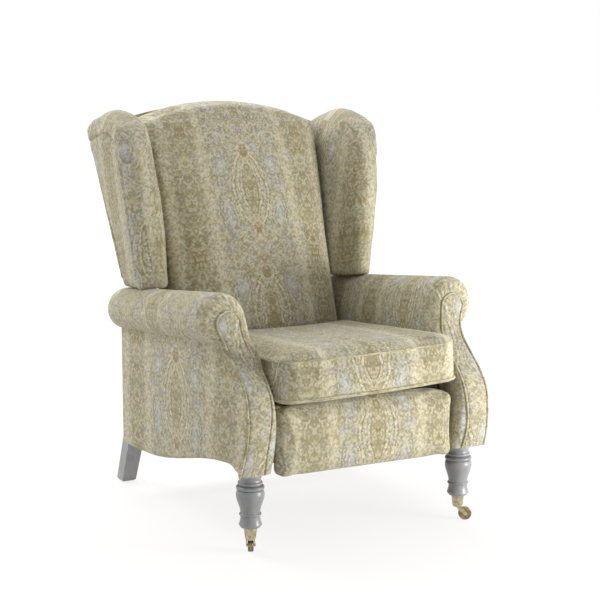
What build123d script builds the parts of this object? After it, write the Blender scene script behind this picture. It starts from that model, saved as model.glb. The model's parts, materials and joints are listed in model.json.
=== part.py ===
from build123d import *
import os
from math import atan2, cos, degrees, hypot, radians, sin

os.makedirs("parts", exist_ok=True)

# A wingback recliner, in millimetres.  It is drawn with the sitter facing -Y,
# X across and Z up from the floor; y = 0 lies near the middle of the seat.
# The last step moves it so that the origin is under the middle of its outer box.
# "left" and "right" are the sitter's, so left is +X.
DEPTH_CENTRE = 27.2          # y of the middle of the outer box, as drawn

# ---------------------------------------------------------------- driving sizes
ARM_IN = 262                 # inner face of the upholstered arm: half the seat's width
COVER_T = 3                  # cover and wadding over the bottom side rail
RAIL_T = 32                  # thickness of the bottom side rail
ARM_FRAME_W = 83             # from the inner face of the arm to the outside of its frame
PANEL_T = 12                 # padded side panel
FRAME_IN = ARM_IN - COVER_T              # inner face of the bottom side rail
RAIL_OUT = FRAME_IN + RAIL_T             # outer face of the bottom side rail
ARM_FRAME_OUT = ARM_IN + ARM_FRAME_W     # outer face of the arm frame
PANEL_OUT = ARM_FRAME_OUT + PANEL_T      # outer face of the side panel
REAR_LEG_W = 50              # rear leg where it meets the frame
REAR_LEG_X = ARM_FRAME_OUT - 4 - REAR_LEG_W / 2   # rear leg axis, just inside the side panel
LEG_X = ARM_IN + 41          # front leg axis, to each side
LEG_Y = -360                 # front leg axis, front to back
REAR_PANEL_TOP = 388         # top of the fixed rear panel, below the swing of the back
LEG_TOP = 205                # top of the front legs, under the fabric
ARM_BACK = 352               # rear end of the arms
RAIL_LOW = 235               # underside of the side rail
RAIL_TOP = 300               # top of the side rail
RAIL_FRONT = -330            # where the side rail meets the front post

ROLL_X = ARM_IN + 71         # axis of the arm roll
ROLL_FRONT_Y, ROLL_FRONT_Z, ROLL_FRONT_R = -284, 570, 63
ROLL_BACK_Z, ROLL_BACK_R = 514, 57

PLATE_T = 4                  # steel of the mechanism plates and links
LINK_GAP = 3                 # washer gap between neighbouring links
PLATE_OUT = FRAME_IN         # mechanism plate bolts flat on the side rail
SEAT_FLANGE_Z = 377          # underside of the seat flange of the plate
SEAT_FLANGE_T = 3
SEAT_FLANGE_IN = FRAME_IN - 74   # inner edge of the seat flange
SEAT_FRONT, SEAT_BACK = -330, 90

CUSHION_GAP = 6              # room between the cushion and each arm
CUSHION_HALF = ARM_IN - CUSHION_GAP
CUSHION_FRONT = -455         # foremost point of the bowed front
CUSHION_BACK = 82
CUSHION_LOW = 383
CUSHION_TOP = 503            # crown, at the front
CUSHION_CROWN = 1500         # radius of the crown across
CUSHION_FALL = 3.2           # degrees that the top falls to the back

PIN_R = 5                    # pivot pins
RIVET_R = 4                  # link rivets
RUNNING = 0.05               # radial running clearance of a turning pin
LINK_W = 10                  # half width of a link
OPEN_GUIDE = 5.2             # extra radius of the guide link's lost-motion eye
OPEN_ROD = 5.8               # extra radius of the drive rod's lost-motion eye

# The reclining back turns on HINGE; its lower crank pushes the drive rods.
HINGE = (285, 335)           # y, z
BACK_CRANK = 65
BACK_CRANK_DEG = 298         # direction from the hinge, 0 = back, 90 = up
RECLINE = 30                 # degrees of recline

# The swing arm turns on SWING; it carries the carrier link at its end.
SWING = (-134, 362)
SWING_LEN = 148
SWING_REST, SWING_OPEN = 290, 188
CARRIER_LEN = 296            # swing arm end to footrest pivot
CARRIER_TAIL = 50            # swing arm end to guide link pivot
CARRIER_REST = 155.4
GUIDE = (-76.7, 351.8)       # fixed pivot of the guide link
TUBE_ALONG = 60              # torque tube, from SWING along the swing arm
TUBE_R = 8
SWING_HORN = 20              # short arm that the drive rod pulls
SWING_HORN_DEG = 321

BACK_RAKE = 18.5             # lean of the outside back
BACK_REF_Y, BACK_REF_Z = 347, 590   # a point on the outside back plane
BACK_PANEL_T = 8
BACK_TIMBER = 42             # timbers, front to back
UPRIGHT_W = 40               # width of the back uprights
BACK_FOOT = -265             # lower end of the back, along its own slope
BACK_WAIST = 0               # where the back widens above the arms
SHOULDER = 440               # height of the shoulders along the slope
CREST = 512                  # height of the arched crest along the slope

FOOT_PIVOT_OFF = 17.485      # from the footrest pivot to the rear face of the board
FOOT_BOARD_T = 12
FOOT_PAD_T = 36
FOOT_GAP = 15                # room between the footrest and the inner face of each arm
FOOT_HALF = ARM_IN - FOOT_GAP
FOOT_LOW, FOOT_TOP = 192, 356

WHEEL_R = 17
WHEEL_W = 14
CASTOR_TRAIL = 20            # wheel axle behind the swivel axis
CUP_LOW = 41                 # underside of the brass cup
CUP_TOP = 69
STEM_R = 4
CASTOR_TURN_LEFT, CASTOR_TURN_RIGHT = -112, -28   # where the castors stand, degrees about Z


# ---------------------------------------------------------------- small helpers
def mirrored(shape):
    """The same piece for the sitter's right side."""
    return mirror(shape, about=Plane.YZ)


def side_prism(points, x0, x1):
    """A flat piece cut to an outline of (y, z) points, from x0 to x1."""
    face = make_face(Polyline(*[(0, y, z) for y, z in points], close=True))
    return Pos(x0, 0, 0) * extrude(face, amount=x1 - x0, dir=(1, 0, 0))


def cross_cylinder(y, z, radius, x0, x1):
    """A round bar or hole along X."""
    return Pos((x0 + x1) / 2, y, z) * Rot(0, 90, 0) * Cylinder(radius, x1 - x0)


def block(x0, x1, y0, y1, z0, z1):
    return Pos((x0 + x1) / 2, (y0 + y1) / 2, (z0 + z1) / 2) * Box(x1 - x0, y1 - y0, z1 - z0)


def polar(centre, length, angle):
    """Point at a length and direction from a centre, in the (y, z) plane."""
    return (centre[0] + length * cos(radians(angle)), centre[1] + length * sin(radians(angle)))


def bar(a, b, x0, x1, width=LINK_W):
    """A flat link with round ends between two (y, z) points."""
    length, angle = hypot(b[0] - a[0], b[1] - a[1]), degrees(atan2(b[1] - a[1], b[0] - a[0]))
    strip = SlotCenterToCenter(length, 2 * width)
    middle = ((a[0] + b[0]) / 2, (a[1] + b[1]) / 2)
    plane = Plane(origin=(x0, middle[0], middle[1]), x_dir=(0, cos(radians(angle)), sin(radians(angle))),
                  z_dir=(1, 0, 0))
    return extrude(plane * strip, amount=x1 - x0)


def both(shape):
    """A left piece and its mirror image, kept as two solids of one node."""
    return Compound(children=[*shape.solids(), *mirrored(shape).solids()])


parts = {}


def pair(name, left_shape):
    parts[name + "_left"] = left_shape
    parts[name + "_right"] = mirrored(left_shape)


# ---------------------------------------------------------------- link planes
plate_x = (PLATE_OUT - PLATE_T, PLATE_OUT)
guide_x = (plate_x[0] - LINK_GAP - PLATE_T, plate_x[0] - LINK_GAP)
carrier_x = (guide_x[0] - LINK_GAP - PLATE_T, guide_x[0] - LINK_GAP)
swing_x = (carrier_x[0] - LINK_GAP - PLATE_T, carrier_x[0] - LINK_GAP)
strap_x, bracket_x = guide_x, swing_x
rod_x = (swing_x[0] - LINK_GAP - PLATE_T, swing_x[0] - LINK_GAP)   # the drive rods run inside the swing arms

swing_end = polar(SWING, SWING_LEN, SWING_REST)
foot_pivot = polar(swing_end, CARRIER_LEN, CARRIER_REST)
guide_end = polar(swing_end, -CARRIER_TAIL, CARRIER_REST)
horn_pin = polar(SWING, SWING_HORN, SWING_HORN_DEG)
crank_pin = polar(HINGE, BACK_CRANK, BACK_CRANK_DEG)
tube_at = polar(SWING, TUBE_ALONG, SWING_REST)
FOOT_BOARD_Y = foot_pivot[0] - FOOT_PIVOT_OFF   # rear face of the footrest board
UPRIGHT_OUT = strap_x[0]     # the uprights stand against the hinge straps
UPRIGHT_IN = UPRIGHT_OUT - UPRIGHT_W


# ---------------------------------------------------------------- legs and castors
def front_leg():
    """Turned leg: collar rings, a vase shaped bulb, a thin ring and a flared foot."""
    with BuildPart() as leg:
        with BuildSketch(Plane.XZ):
            with BuildLine():
                Polyline((0, CUP_LOW + 4), (11.5, CUP_LOW + 4), (13.5, CUP_TOP), (24, CUP_TOP))
                Line((24, CUP_TOP), (28.5, CUP_TOP + 7))
                ThreePointArc((28.5, CUP_TOP + 7), (25.5, 86), (24, 98))
                ThreePointArc((24, 98), (27.5, 101.5), (24.5, 105))
                Spline((24.5, 105), (27, 120), (33, 138), (35, 152), (32, 162))
                Line((32, 162), (30, 163))
                ThreePointArc((30, 163), (35, 168), (30, 173))
                Line((30, 173), (27, 174))
                ThreePointArc((27, 174), (30.5, 179), (27, 184))
                Polyline((27, 184), (26, 188), (29, 196), (29, LEG_TOP), (0, LEG_TOP), (0, CUP_LOW + 4))
            make_face()
        revolve(axis=Axis.Z)
    stem = Pos(0, 0, CUP_LOW + 14) * Cylinder(STEM_R + RUNNING, 30)
    return Pos(LEG_X, LEG_Y, 0) * (leg.part - stem)


def castor_cup():
    """Brass cup that slips over the leg's tapered end and carries the castor."""
    cup = Pos(0, 0, CUP_LOW) * Cone(13.5, 16.5, CUP_TOP - CUP_LOW, align=(Align.CENTER, Align.CENTER, Align.MIN))
    cup += Pos(0, 0, CUP_TOP - 2) * Cylinder(18, 2, align=(Align.CENTER, Align.CENTER, Align.MIN))
    inside = Pos(0, 0, CUP_LOW + 4) * Cone(11.5, 13.5, CUP_TOP - CUP_LOW - 4,
                                          align=(Align.CENTER, Align.CENTER, Align.MIN))
    bore = Pos(0, 0, CUP_LOW) * Cylinder(STEM_R + RUNNING, 20)
    return Pos(LEG_X, LEG_Y, 0) * (cup - inside - bore)


def castor_fork():
    """Swivelling horn: a stem and top plate, with two cheeks that reach back to the axle."""
    cheek_in = WHEEL_W / 2 + 1.5
    fork = Pos(0, 0, CUP_LOW - 4) * Cylinder(12, 3.6, align=(Align.CENTER, Align.CENTER, Align.MIN))
    fork += Pos(0, 0, CUP_LOW - 4) * Cylinder(STEM_R, 26, align=(Align.CENTER, Align.CENTER, Align.MIN))
    for sign in (-1, 1):
        x0 = cheek_in if sign > 0 else -cheek_in - 2.5
        fork += bar((2, CUP_LOW - 6), (CASTOR_TRAIL, WHEEL_R), x0, x0 + 2.5, width=5)
    top = block(-cheek_in - 2.5, cheek_in + 2.5, -6, 8, CUP_LOW - 4, CUP_LOW - 0.4)
    fork = (fork + top) - cross_cylinder(CASTOR_TRAIL, WHEEL_R, 2.5, -cheek_in - 5, cheek_in + 5)
    axle = cross_cylinder(CASTOR_TRAIL, WHEEL_R, 2.5, -cheek_in - 3.5, cheek_in + 3.5)
    return Compound(children=[*fork.solids(), *axle.solids()])


def castor_wheel():
    """Solid wheel with rounded tread."""
    wheel = cross_cylinder(CASTOR_TRAIL, WHEEL_R, WHEEL_R, -WHEEL_W / 2, WHEEL_W / 2)
    wheel = fillet(wheel.edges().filter_by(GeomType.CIRCLE), 3)
    return wheel - cross_cylinder(CASTOR_TRAIL, WHEEL_R, 2.5 + RUNNING, -WHEEL_W, WHEEL_W)


def rear_leg():
    """Square tapered rear leg, raked back, with its lower edges broken."""
    low = Plane(origin=(REAR_LEG_X + 2, 422, 0)) * Rectangle(34, 34)
    ankle = Plane(origin=(REAR_LEG_X + 2, 420, 5)) * Rectangle(42, 42)
    top = Plane(origin=(REAR_LEG_X, 294, 290)) * Rectangle(REAR_LEG_W, REAR_LEG_W)
    return loft([low, ankle], ruled=True) + loft([ankle, top], ruled=True)


pair("front_leg", front_leg())
pair("rear_leg", rear_leg())
pair("castor_cup", castor_cup())
castor_place = {"left": Pos(LEG_X, LEG_Y, 0) * Rot(0, 0, CASTOR_TURN_LEFT),
                "right": Pos(-LEG_X, LEG_Y, 0) * Rot(0, 0, CASTOR_TURN_RIGHT)}
for side, place in castor_place.items():
    parts["castor_fork_" + side] = place * castor_fork()
    parts["castor_wheel_" + side] = place * castor_wheel()


# ---------------------------------------------------------------- arm frame
POST_FRONT = [(-390, LEG_TOP), (-390, 385), (-298, 480)]    # front edge of the post, under the facing


def front_post():
    return side_prism([*POST_FRONT, (-262, 480), (-262, 440), (RAIL_FRONT, 400), (RAIL_FRONT, LEG_TOP)],
                      LEG_X - 28, LEG_X + 26)


def side_rail():
    outline = [(RAIL_FRONT, RAIL_LOW), (120, RAIL_LOW), (220, 165), (330, 165),
               (330, RAIL_TOP), (RAIL_FRONT, RAIL_TOP)]
    return side_prism(outline, FRAME_IN, RAIL_OUT)


ARM_RAIL_T = 40
roll_slope = (ROLL_BACK_Z - ROLL_FRONT_Z) / (ARM_BACK - ROLL_FRONT_Y)


def roll_under(y):
    """Height of the underside of the arm roll."""
    share = (y - ROLL_FRONT_Y) / (ARM_BACK - ROLL_FRONT_Y)
    radius = ROLL_FRONT_R + (ROLL_BACK_R - ROLL_FRONT_R) * share
    return ROLL_FRONT_Z + roll_slope * (y - ROLL_FRONT_Y) - radius


def arm_rail():
    y0, y1 = -270, ARM_BACK - 8
    outline = [(y0, roll_under(y0) - ARM_RAIL_T), (y1, roll_under(y1) - ARM_RAIL_T),
               (y1, roll_under(y1) + 6), (y0, roll_under(y0) + 6)]
    return side_prism(outline, ARM_IN + 38, ARM_FRAME_OUT - 10)


def rear_post():
    y0, y1 = 272, 318
    outline = [(y0, 290), (y1, 290), (y1, roll_under(y1) - ARM_RAIL_T), (y0, roll_under(y0) - ARM_RAIL_T)]
    return side_prism(outline, RAIL_OUT + 1, ARM_FRAME_OUT - 4)


post, rail, top_rail, back_post = front_post(), side_rail(), arm_rail(), rear_post()
top_rail = top_rail - post
pair("front_post", post)
pair("side_rail", rail)
pair("arm_rail", top_rail)
pair("rear_post", back_post)
parts["rear_rail"] = block(-FRAME_IN, FRAME_IN, 300, 330, 165, 230)
parts["front_rail"] = block(-RAIL_OUT, RAIL_OUT, -325, -297, RAIL_LOW - 26, RAIL_LOW)   # under the side rails


# ---------------------------------------------------------------- arm upholstery
def facing_curve():
    """Front of the arm seen from the side, from the leg up to the scroll."""
    return [(-406, LEG_TOP), (-418, 235), (-429, 275), (-434, 320), (-432, 352), (-421, 384), (-400, 414),
            (-368, 445), (-335, 474), (-309, 506), (-297, 540), (-293, 592)]


def behind_front(offset, low, high):
    """Solid region behind the S-shaped front, set back by an offset, with open rear at y = 400."""
    pts = [(y + offset, z) for y, z in facing_curve()]
    with BuildPart() as region:
        with BuildSketch(Plane.YZ):
            with BuildLine():
                Spline(*pts)
                Polyline(pts[-1], (pts[-1][0], 700), (400, 700), (400, 90), (pts[0][0], 90), pts[0])
            make_face()
        extrude(amount=450, both=True)
    return region.part & block(-450, 450, -600, 500, low, high)


def arm_roll():
    front = Plane(origin=(ROLL_X, ROLL_FRONT_Y, ROLL_FRONT_Z), x_dir=(1, 0, 0), z_dir=(0, 1, 0)) * Circle(ROLL_FRONT_R)
    back = Plane(origin=(ROLL_X, ARM_BACK, ROLL_BACK_Z), x_dir=(1, 0, 0), z_dir=(0, 1, 0)) * Circle(ROLL_BACK_R)
    roll = loft([front, back])
    return fillet(roll.edges().filter_by(GeomType.CIRCLE).sort_by(Axis.Y)[0], 16)


FACING_IN = ARM_IN + 22      # inner edge of the arm facing at its foot
INSIDE_LOW = RAIL_TOP + 5    # lower edge of the inside arm, over the side rail


def inside_arm():
    """Padded inner face of the arm, from the seat up into the roll."""
    low_front = block(ARM_IN, FACING_IN, -445, RAIL_FRONT - 2, LEG_TOP + 6, 560)
    upper = block(ARM_IN, ARM_IN + 37, -445, ARM_BACK, INSIDE_LOW, ROLL_BACK_Z)
    return (low_front + upper) & behind_front(12, LEG_TOP + 6, 700)


FACING_BACK = [(POST_FRONT[0][0], 100), *POST_FRONT[1:], (ROLL_FRONT_Y, 540), (ROLL_FRONT_Y, 720)]


def facing_outer():
    """Outer edge of the facing seen from the front: it draws in under the scroll."""
    beyond = [(68, LEG_TOP), (66, 235), (61, 285), (58, 330), (56, 370), (52, 405), (50, 440), (50, 468),
              (55, 500), (63, 530), (73, 556)]
    return [(FACING_IN + x, z) for x, z in beyond]


def arm_facing():
    """Piped band down the front of the arm with a rounded top over the scroll."""
    front = behind_front(0, LEG_TOP, 700)
    with BuildPart() as width:
        with BuildSketch(Plane.XZ):
            with BuildLine():
                Line((FACING_IN, LEG_TOP), (FACING_IN + 68, LEG_TOP))
                Spline(*facing_outer())
                ThreePointArc((FACING_IN + 73, 556), (FACING_IN + 40.5, 590), (FACING_IN + 8, 556))
                Spline((FACING_IN + 8, 556), (FACING_IN + 7, 532), (FACING_IN - 4, 500), (FACING_IN - 11, 470),
                       (FACING_IN - 15, 440), (FACING_IN - 13, 405), (FACING_IN - 10, 370), (FACING_IN - 5, 330),
                       (FACING_IN, 290), (FACING_IN + 2, 240), (FACING_IN, LEG_TOP))
            make_face()
        extrude(amount=600)
    behind = side_prism([*FACING_BACK, (500, 720), (500, 100)], 200, 400)
    return (front & width.part) - behind


roll = arm_roll()
inside = inside_arm()
face_band = arm_facing() - post - top_rail
arm_pad = (roll + inside) - post - top_rail - back_post - face_band
arm_pad = arm_pad.solids().sort_by(SortBy.VOLUME)[-1]
pair("arm_facing", face_band.solids().sort_by(SortBy.VOLUME)[-1])
pair("arm_pad", arm_pad)


PANEL_FLAT_FROM = -120       # the side panel is flat behind this, and drawn in to the facing before it


def drawn_in_edge(plane_y):
    """Where the drawn-in front of the side panel meets a plane ahead of the facing, as (x, height)."""
    edge = []
    for x, z in facing_outer():
        front_y = next(y0 + (y1 - y0) * (z - z0) / (z1 - z0)
                       for (y0, z0), (y1, z1) in zip(FACING_BACK, FACING_BACK[1:]) if z <= z1)
        edge.append((PANEL_OUT - (PANEL_OUT - x) * (PANEL_FLAT_FROM - plane_y) / (PANEL_FLAT_FROM - front_y), z))
    return edge


def side_panel():
    """Outside of the arm: a serpentine lower edge, cut to the roll at the top, drawn in to the facing."""
    with BuildPart() as panel:
        with BuildSketch(Plane.YZ):
            with BuildLine():
                low = Spline((ARM_BACK, 132), (224, 137), (114, 145), (-11, 166), (-100, 186),
                             (-193, 207), (-284, 221), (-345, 224), (-400, LEG_TOP + 4))
                Polyline(low @ 1, (-460, LEG_TOP + 4), (-460, 600), (ARM_BACK, 560), low @ 0)
            make_face()
        extrude(amount=PANEL_OUT)
    front = -460
    sections = []
    for y, edge in ((front, drawn_in_edge(front)), (PANEL_FLAT_FROM, [(PANEL_OUT, z) for _, z in facing_outer()])):
        edge = [(edge[0][0], 120)] + edge + [(edge[-1][0], 620)]
        back_edge = [(x - PANEL_T, z) for x, z in reversed(edge)]
        with BuildSketch(Plane(origin=(0, y, 0), x_dir=(1, 0, 0), z_dir=(0, -1, 0))) as section:
            with BuildLine():
                Polyline(*edge)
                Line(edge[-1], back_edge[0])
                Polyline(*back_edge)
                Line(back_edge[-1], edge[0])
            make_face()
        sections.append(section.sketch)
    skin = loft(sections, ruled=True) + block(ARM_FRAME_OUT, PANEL_OUT, PANEL_FLAT_FROM, ARM_BACK, 100, 620)
    behind_facing = side_prism([*FACING_BACK, (500, 720), (500, 100)], 250, 400)
    return (panel.part & skin & behind_facing) - roll - face_band - post - top_rail


panel = side_panel()
pair("side_panel", panel.solids().sort_by(SortBy.VOLUME)[-1])

panel_back = block(-ARM_IN + 1, ARM_IN - 1, ARM_BACK - 7, ARM_BACK, 150, REAR_PANEL_TOP)
panel_back += block(-RAIL_OUT, RAIL_OUT, ARM_BACK - 7, ARM_BACK, 150, INSIDE_LOW)
arm_back = block(ARM_IN, ARM_FRAME_OUT, ARM_BACK - 7, ARM_BACK, 320, 520) - roll - top_rail - inside
arm_back = arm_back.solids().sort_by(SortBy.VOLUME)[-1]
parts["rear_panels"] = Compound(children=[panel_back, arm_back, mirrored(arm_back)])


# ---------------------------------------------------------------- mechanism plates and seat
def mech_plate():
    outline = [(-330, 262), (-330, 380), (SEAT_BACK, 380), (298, 354), (306, 335), (300, 262)]
    plate = side_prism(outline, *plate_x)
    plate += block(SEAT_FLANGE_IN, PLATE_OUT, SEAT_FRONT, SEAT_BACK, SEAT_FLANGE_Z, SEAT_FLANGE_Z + SEAT_FLANGE_T)
    for y, z in (SWING, GUIDE, HINGE):
        plate -= cross_cylinder(y, z, PIN_R, plate_x[0] - 1, plate_x[1] + 1)
    for y in plate_bolts_y:
        plate -= cross_cylinder(y, BOLT_Z, 3, plate_x[0] - 1, plate_x[1] + 1)
    return plate


plate_bolts_y = (-290, -60, 210)
BOLT_Z = 282
pair("mechanism_plate", mech_plate())
pins = (cross_cylinder(*SWING, PIN_R, swing_x[0] - 1, plate_x[1])
        + cross_cylinder(*GUIDE, PIN_R, guide_x[0] - 1, plate_x[1])
        + cross_cylinder(*HINGE, PIN_R, strap_x[0] - 1, plate_x[1]))
parts["pivot_pins"] = both(pins)


def bolts():
    """Bolts: plate to rail, leg to rail, and the hanger bolts of the front legs."""
    group = []
    for y in plate_bolts_y:
        group.append(cross_cylinder(y, BOLT_Z, 3, plate_x[0], RAIL_OUT - 6))
    group.append(cross_cylinder(300, 262, 4, FRAME_IN + 4, RAIL_OUT + 34))
    group.append(Pos(LEG_X, LEG_Y, LEG_TOP) * Cylinder(4, 70))
    return group


bolt_list = bolts()
bolt_cut = Compound(children=bolt_list)
for name in ("side_rail", "rear_leg", "front_leg", "front_post"):
    piece = parts[name + "_left"]
    for bolt in bolt_list:
        piece = piece - bolt
    pair(name, piece)
parts["frame_bolts"] = Compound(children=[*[b.solid() for b in bolt_list], *[mirrored(b).solid() for b in bolt_list]])

parts["seat_rails"] = Compound(children=[
    block(-SEAT_FLANGE_IN - 15, SEAT_FLANGE_IN + 15, y, y + 30, SEAT_FLANGE_Z - 30, SEAT_FLANGE_Z)
    for y in (SEAT_FRONT, SEAT_BACK - 30)])


def zigzag(length, amplitude, pitch, wire):
    """One sinuous spring along +Y from the origin: straight runs joined by round bends."""
    runs = int(length // pitch)
    points = [(0, 0)]
    for i in range(runs):
        side_x = amplitude if i % 2 == 0 else -amplitude
        points += [(side_x, i * pitch + pitch * 0.18), (side_x, (i + 1) * pitch - pitch * 0.18)]
    points.append((0, length))
    path = FilletPolyline(*points, radius=pitch * 0.24)
    return sweep(Plane(origin=path @ 0, z_dir=path % 0) * Circle(wire / 2), path=path, transition=Transition.ROUND)


SPRING_WIRE = 3.6
seat_spring = zigzag(SEAT_BACK - SEAT_FRONT - 20, 22, 50, SPRING_WIRE)
seat_springs = [Pos(x, SEAT_FRONT + 10, SEAT_FLANGE_Z + SPRING_WIRE / 2 + 0.1) * seat_spring
                for x in (-140, -70, 0, 70, 140)]
parts["seat_springs"] = Compound(children=[s.solid() for s in seat_springs])
parts["seat_deck"] = block(-SEAT_FLANGE_IN + 3, SEAT_FLANGE_IN - 3, SEAT_FRONT, SEAT_BACK,
                           SEAT_FLANGE_Z + SPRING_WIRE + 0.2, CUSHION_LOW)


def seat_cushion():
    """Box cushion: bowed front with round corners, a crowned top that falls to the back."""
    with BuildPart() as cushion:
        with BuildSketch():
            with BuildLine():
                corner, bend, side_end = CUSHION_HALF - 24, CUSHION_HALF - 7, CUSHION_FRONT + 63
                corner_y, bend_y = CUSHION_FRONT + 14, CUSHION_FRONT + 29
                Line((-CUSHION_HALF, CUSHION_BACK), (-CUSHION_HALF, side_end))
                ThreePointArc((-CUSHION_HALF, side_end), (-bend, bend_y), (-corner, corner_y))
                ThreePointArc((-corner, corner_y), (0, CUSHION_FRONT), (corner, corner_y))
                ThreePointArc((corner, corner_y), (bend, bend_y), (CUSHION_HALF, side_end))
                Line((CUSHION_HALF, side_end), (CUSHION_HALF, CUSHION_BACK))
                Line((CUSHION_HALF, CUSHION_BACK), (-CUSHION_HALF, CUSHION_BACK))
            make_face()
        extrude(amount=200)
    body = Pos(0, 0, CUSHION_LOW) * cushion.part
    crown = Pos(0, CUSHION_FRONT, CUSHION_TOP) * Rot(-CUSHION_FALL, 0, 0) * Pos(0, 0, -CUSHION_CROWN) * \
        Rot(90, 0, 0) * Cylinder(CUSHION_CROWN, 2400)
    body = body & crown
    top_edges = body.edges().filter_by(lambda e: e.center().Z > CUSHION_LOW + 40 and
                                       e.bounding_box().size.Z < 60)
    return fillet(top_edges, 12)


parts["seat_cushion"] = seat_cushion()


# ---------------------------------------------------------------- footrest linkage
def link_hole(shape, at, radius, planes):
    return shape - cross_cylinder(at[0], at[1], radius, planes[0] - 1, planes[1] + 1)


swing = bar(SWING, swing_end, *swing_x) + bar(SWING, horn_pin, *swing_x, width=9)
swing = link_hole(swing, SWING, PIN_R + RUNNING, swing_x)
for at in (swing_end, horn_pin):
    swing = link_hole(swing, at, RIVET_R, swing_x)
parts["swing_arms"] = both(swing)
parts["torque_tube"] = cross_cylinder(*tube_at, TUBE_R, -swing_x[0], swing_x[0])
swing_rivets = (cross_cylinder(*swing_end, RIVET_R, swing_x[0], carrier_x[1] + 1)
                + cross_cylinder(*horn_pin, RIVET_R, rod_x[0] - 1, swing_x[1]))
parts["swing_rivets"] = both(swing_rivets)

carrier = bar(guide_end, foot_pivot, *carrier_x)
carrier = link_hole(carrier, swing_end, RIVET_R + RUNNING, carrier_x)
for at in (guide_end, foot_pivot):
    carrier = link_hole(carrier, at, RIVET_R, carrier_x)
parts["carrier_links"] = both(carrier)
carrier_rivets = (cross_cylinder(*guide_end, RIVET_R, carrier_x[0], guide_x[1] + 1)
                  + cross_cylinder(*foot_pivot, RIVET_R, bracket_x[0] - 1, carrier_x[1]))
parts["carrier_rivets"] = both(carrier_rivets)

guide = bar(GUIDE, guide_end, *guide_x) + cross_cylinder(*guide_end, RIVET_R + OPEN_GUIDE + 5, *guide_x)
guide = link_hole(guide, GUIDE, PIN_R + RUNNING, guide_x)
guide = link_hole(guide, guide_end, RIVET_R + OPEN_GUIDE, guide_x)
parts["guide_links"] = both(guide)

rod = bar(crank_pin, horn_pin, *rod_x, width=7) + cross_cylinder(*horn_pin, RIVET_R + OPEN_ROD + 4, *rod_x)
rod += cross_cylinder(*crank_pin, 9, *rod_x)
rod = link_hole(rod, crank_pin, RIVET_R + RUNNING, rod_x)
rod = link_hole(rod, horn_pin, RIVET_R + OPEN_ROD, rod_x)
parts["drive_rods"] = both(rod)

bracket_low, bracket_top = FOOT_TOP - 116, FOOT_TOP - 4
bracket = side_prism([(FOOT_BOARD_Y, bracket_low), (FOOT_BOARD_Y, bracket_top), (foot_pivot[0], foot_pivot[1] + 10.9),
                      (foot_pivot[0] + 11, foot_pivot[1]), (foot_pivot[0], foot_pivot[1] - 12.1)], *bracket_x)
bracket += block(bracket_x[0] - 22, bracket_x[1], FOOT_BOARD_Y, FOOT_BOARD_Y + 3, bracket_low, bracket_top)
bracket = link_hole(bracket, foot_pivot, RIVET_R + RUNNING, bracket_x)
parts["footrest_brackets"] = both(bracket)
board_front = FOOT_BOARD_Y - FOOT_BOARD_T
parts["footrest_board"] = block(-FOOT_HALF + 6, FOOT_HALF - 6, board_front, FOOT_BOARD_Y, FOOT_LOW + 8, FOOT_TOP - 6)
foot_pad = block(-FOOT_HALF, FOOT_HALF, board_front - FOOT_PAD_T, board_front, FOOT_LOW, FOOT_TOP)
foot_pad = fillet(foot_pad.edges().group_by(Axis.Y)[0], 16)
parts["footrest_pad"] = foot_pad


# ---------------------------------------------------------------- reclining back
# The timbers and the outside back are drawn flat and stood on the back's slope:
# y = 0 is the outside back plane, minus is towards the front, z runs up the slope.
back_slope = Pos(0, BACK_REF_Y, BACK_REF_Z) * Rot(-BACK_RAKE, 0, 0)
timber_y = (-BACK_PANEL_T - BACK_TIMBER, -BACK_PANEL_T)
upright = block(UPRIGHT_IN, UPRIGHT_OUT, *timber_y, BACK_FOOT, SHOULDER - 60)
pair("back_upright", back_slope * upright)


def arch(half, low, shoulder, crest):
    """Outline face of the arched crest, in the XZ plane."""
    with BuildSketch(Plane.XZ) as face:
        with BuildLine():
            Polyline((-half, shoulder), (-half, low), (half, low), (half, shoulder))
            ThreePointArc((half, shoulder), (0, crest), (-half, shoulder))
        make_face()
    return face.sketch


crest_face = arch(UPRIGHT_OUT, SHOULDER - 60, SHOULDER - 8, CREST - 22)
crest_rail = Pos(0, timber_y[1], 0) * extrude(crest_face, amount=BACK_TIMBER, dir=(0, -1, 0))
parts["crest_rail"] = back_slope * crest_rail
parts["back_bottom_rail"] = back_slope * block(-UPRIGHT_IN, UPRIGHT_IN, *timber_y, BACK_FOOT, BACK_FOOT + 45)
back_spring = zigzag(SHOULDER - 60 - BACK_FOOT - 45 + 20, 22, 55, SPRING_WIRE)
back_springs = [back_slope * Pos(x, timber_y[0] - SPRING_WIRE / 2 - 0.1, BACK_FOOT + 35) * Rot(90, 0, 0) * back_spring
                for x in (-135, -45, 45, 135)]
parts["back_springs"] = Compound(children=[s.solid() for s in back_springs])


def outside_back():
    """Covered back panel: narrow between the arms, wide behind the wings, arched on top."""
    low_half = UPRIGHT_OUT - 1
    waist, wide, top = ARM_IN + 90, ARM_IN + 130, ARM_IN + 110
    with BuildPart() as sheet:
        with BuildSketch(Plane.XZ):
            with BuildLine():
                Polyline((-top, SHOULDER), (-wide, SHOULDER - 40), (-waist, BACK_WAIST), (-low_half, BACK_WAIST),
                         (-low_half, BACK_FOOT + 15), (low_half, BACK_FOOT + 15), (low_half, BACK_WAIST),
                         (waist, BACK_WAIST), (wide, SHOULDER - 40), (top, SHOULDER))
                ThreePointArc((top, SHOULDER), (0, CREST), (-top, SHOULDER))
            make_face()
        extrude(amount=BACK_PANEL_T)
    return back_slope * sheet.part


parts["outside_back"] = outside_back()


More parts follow.
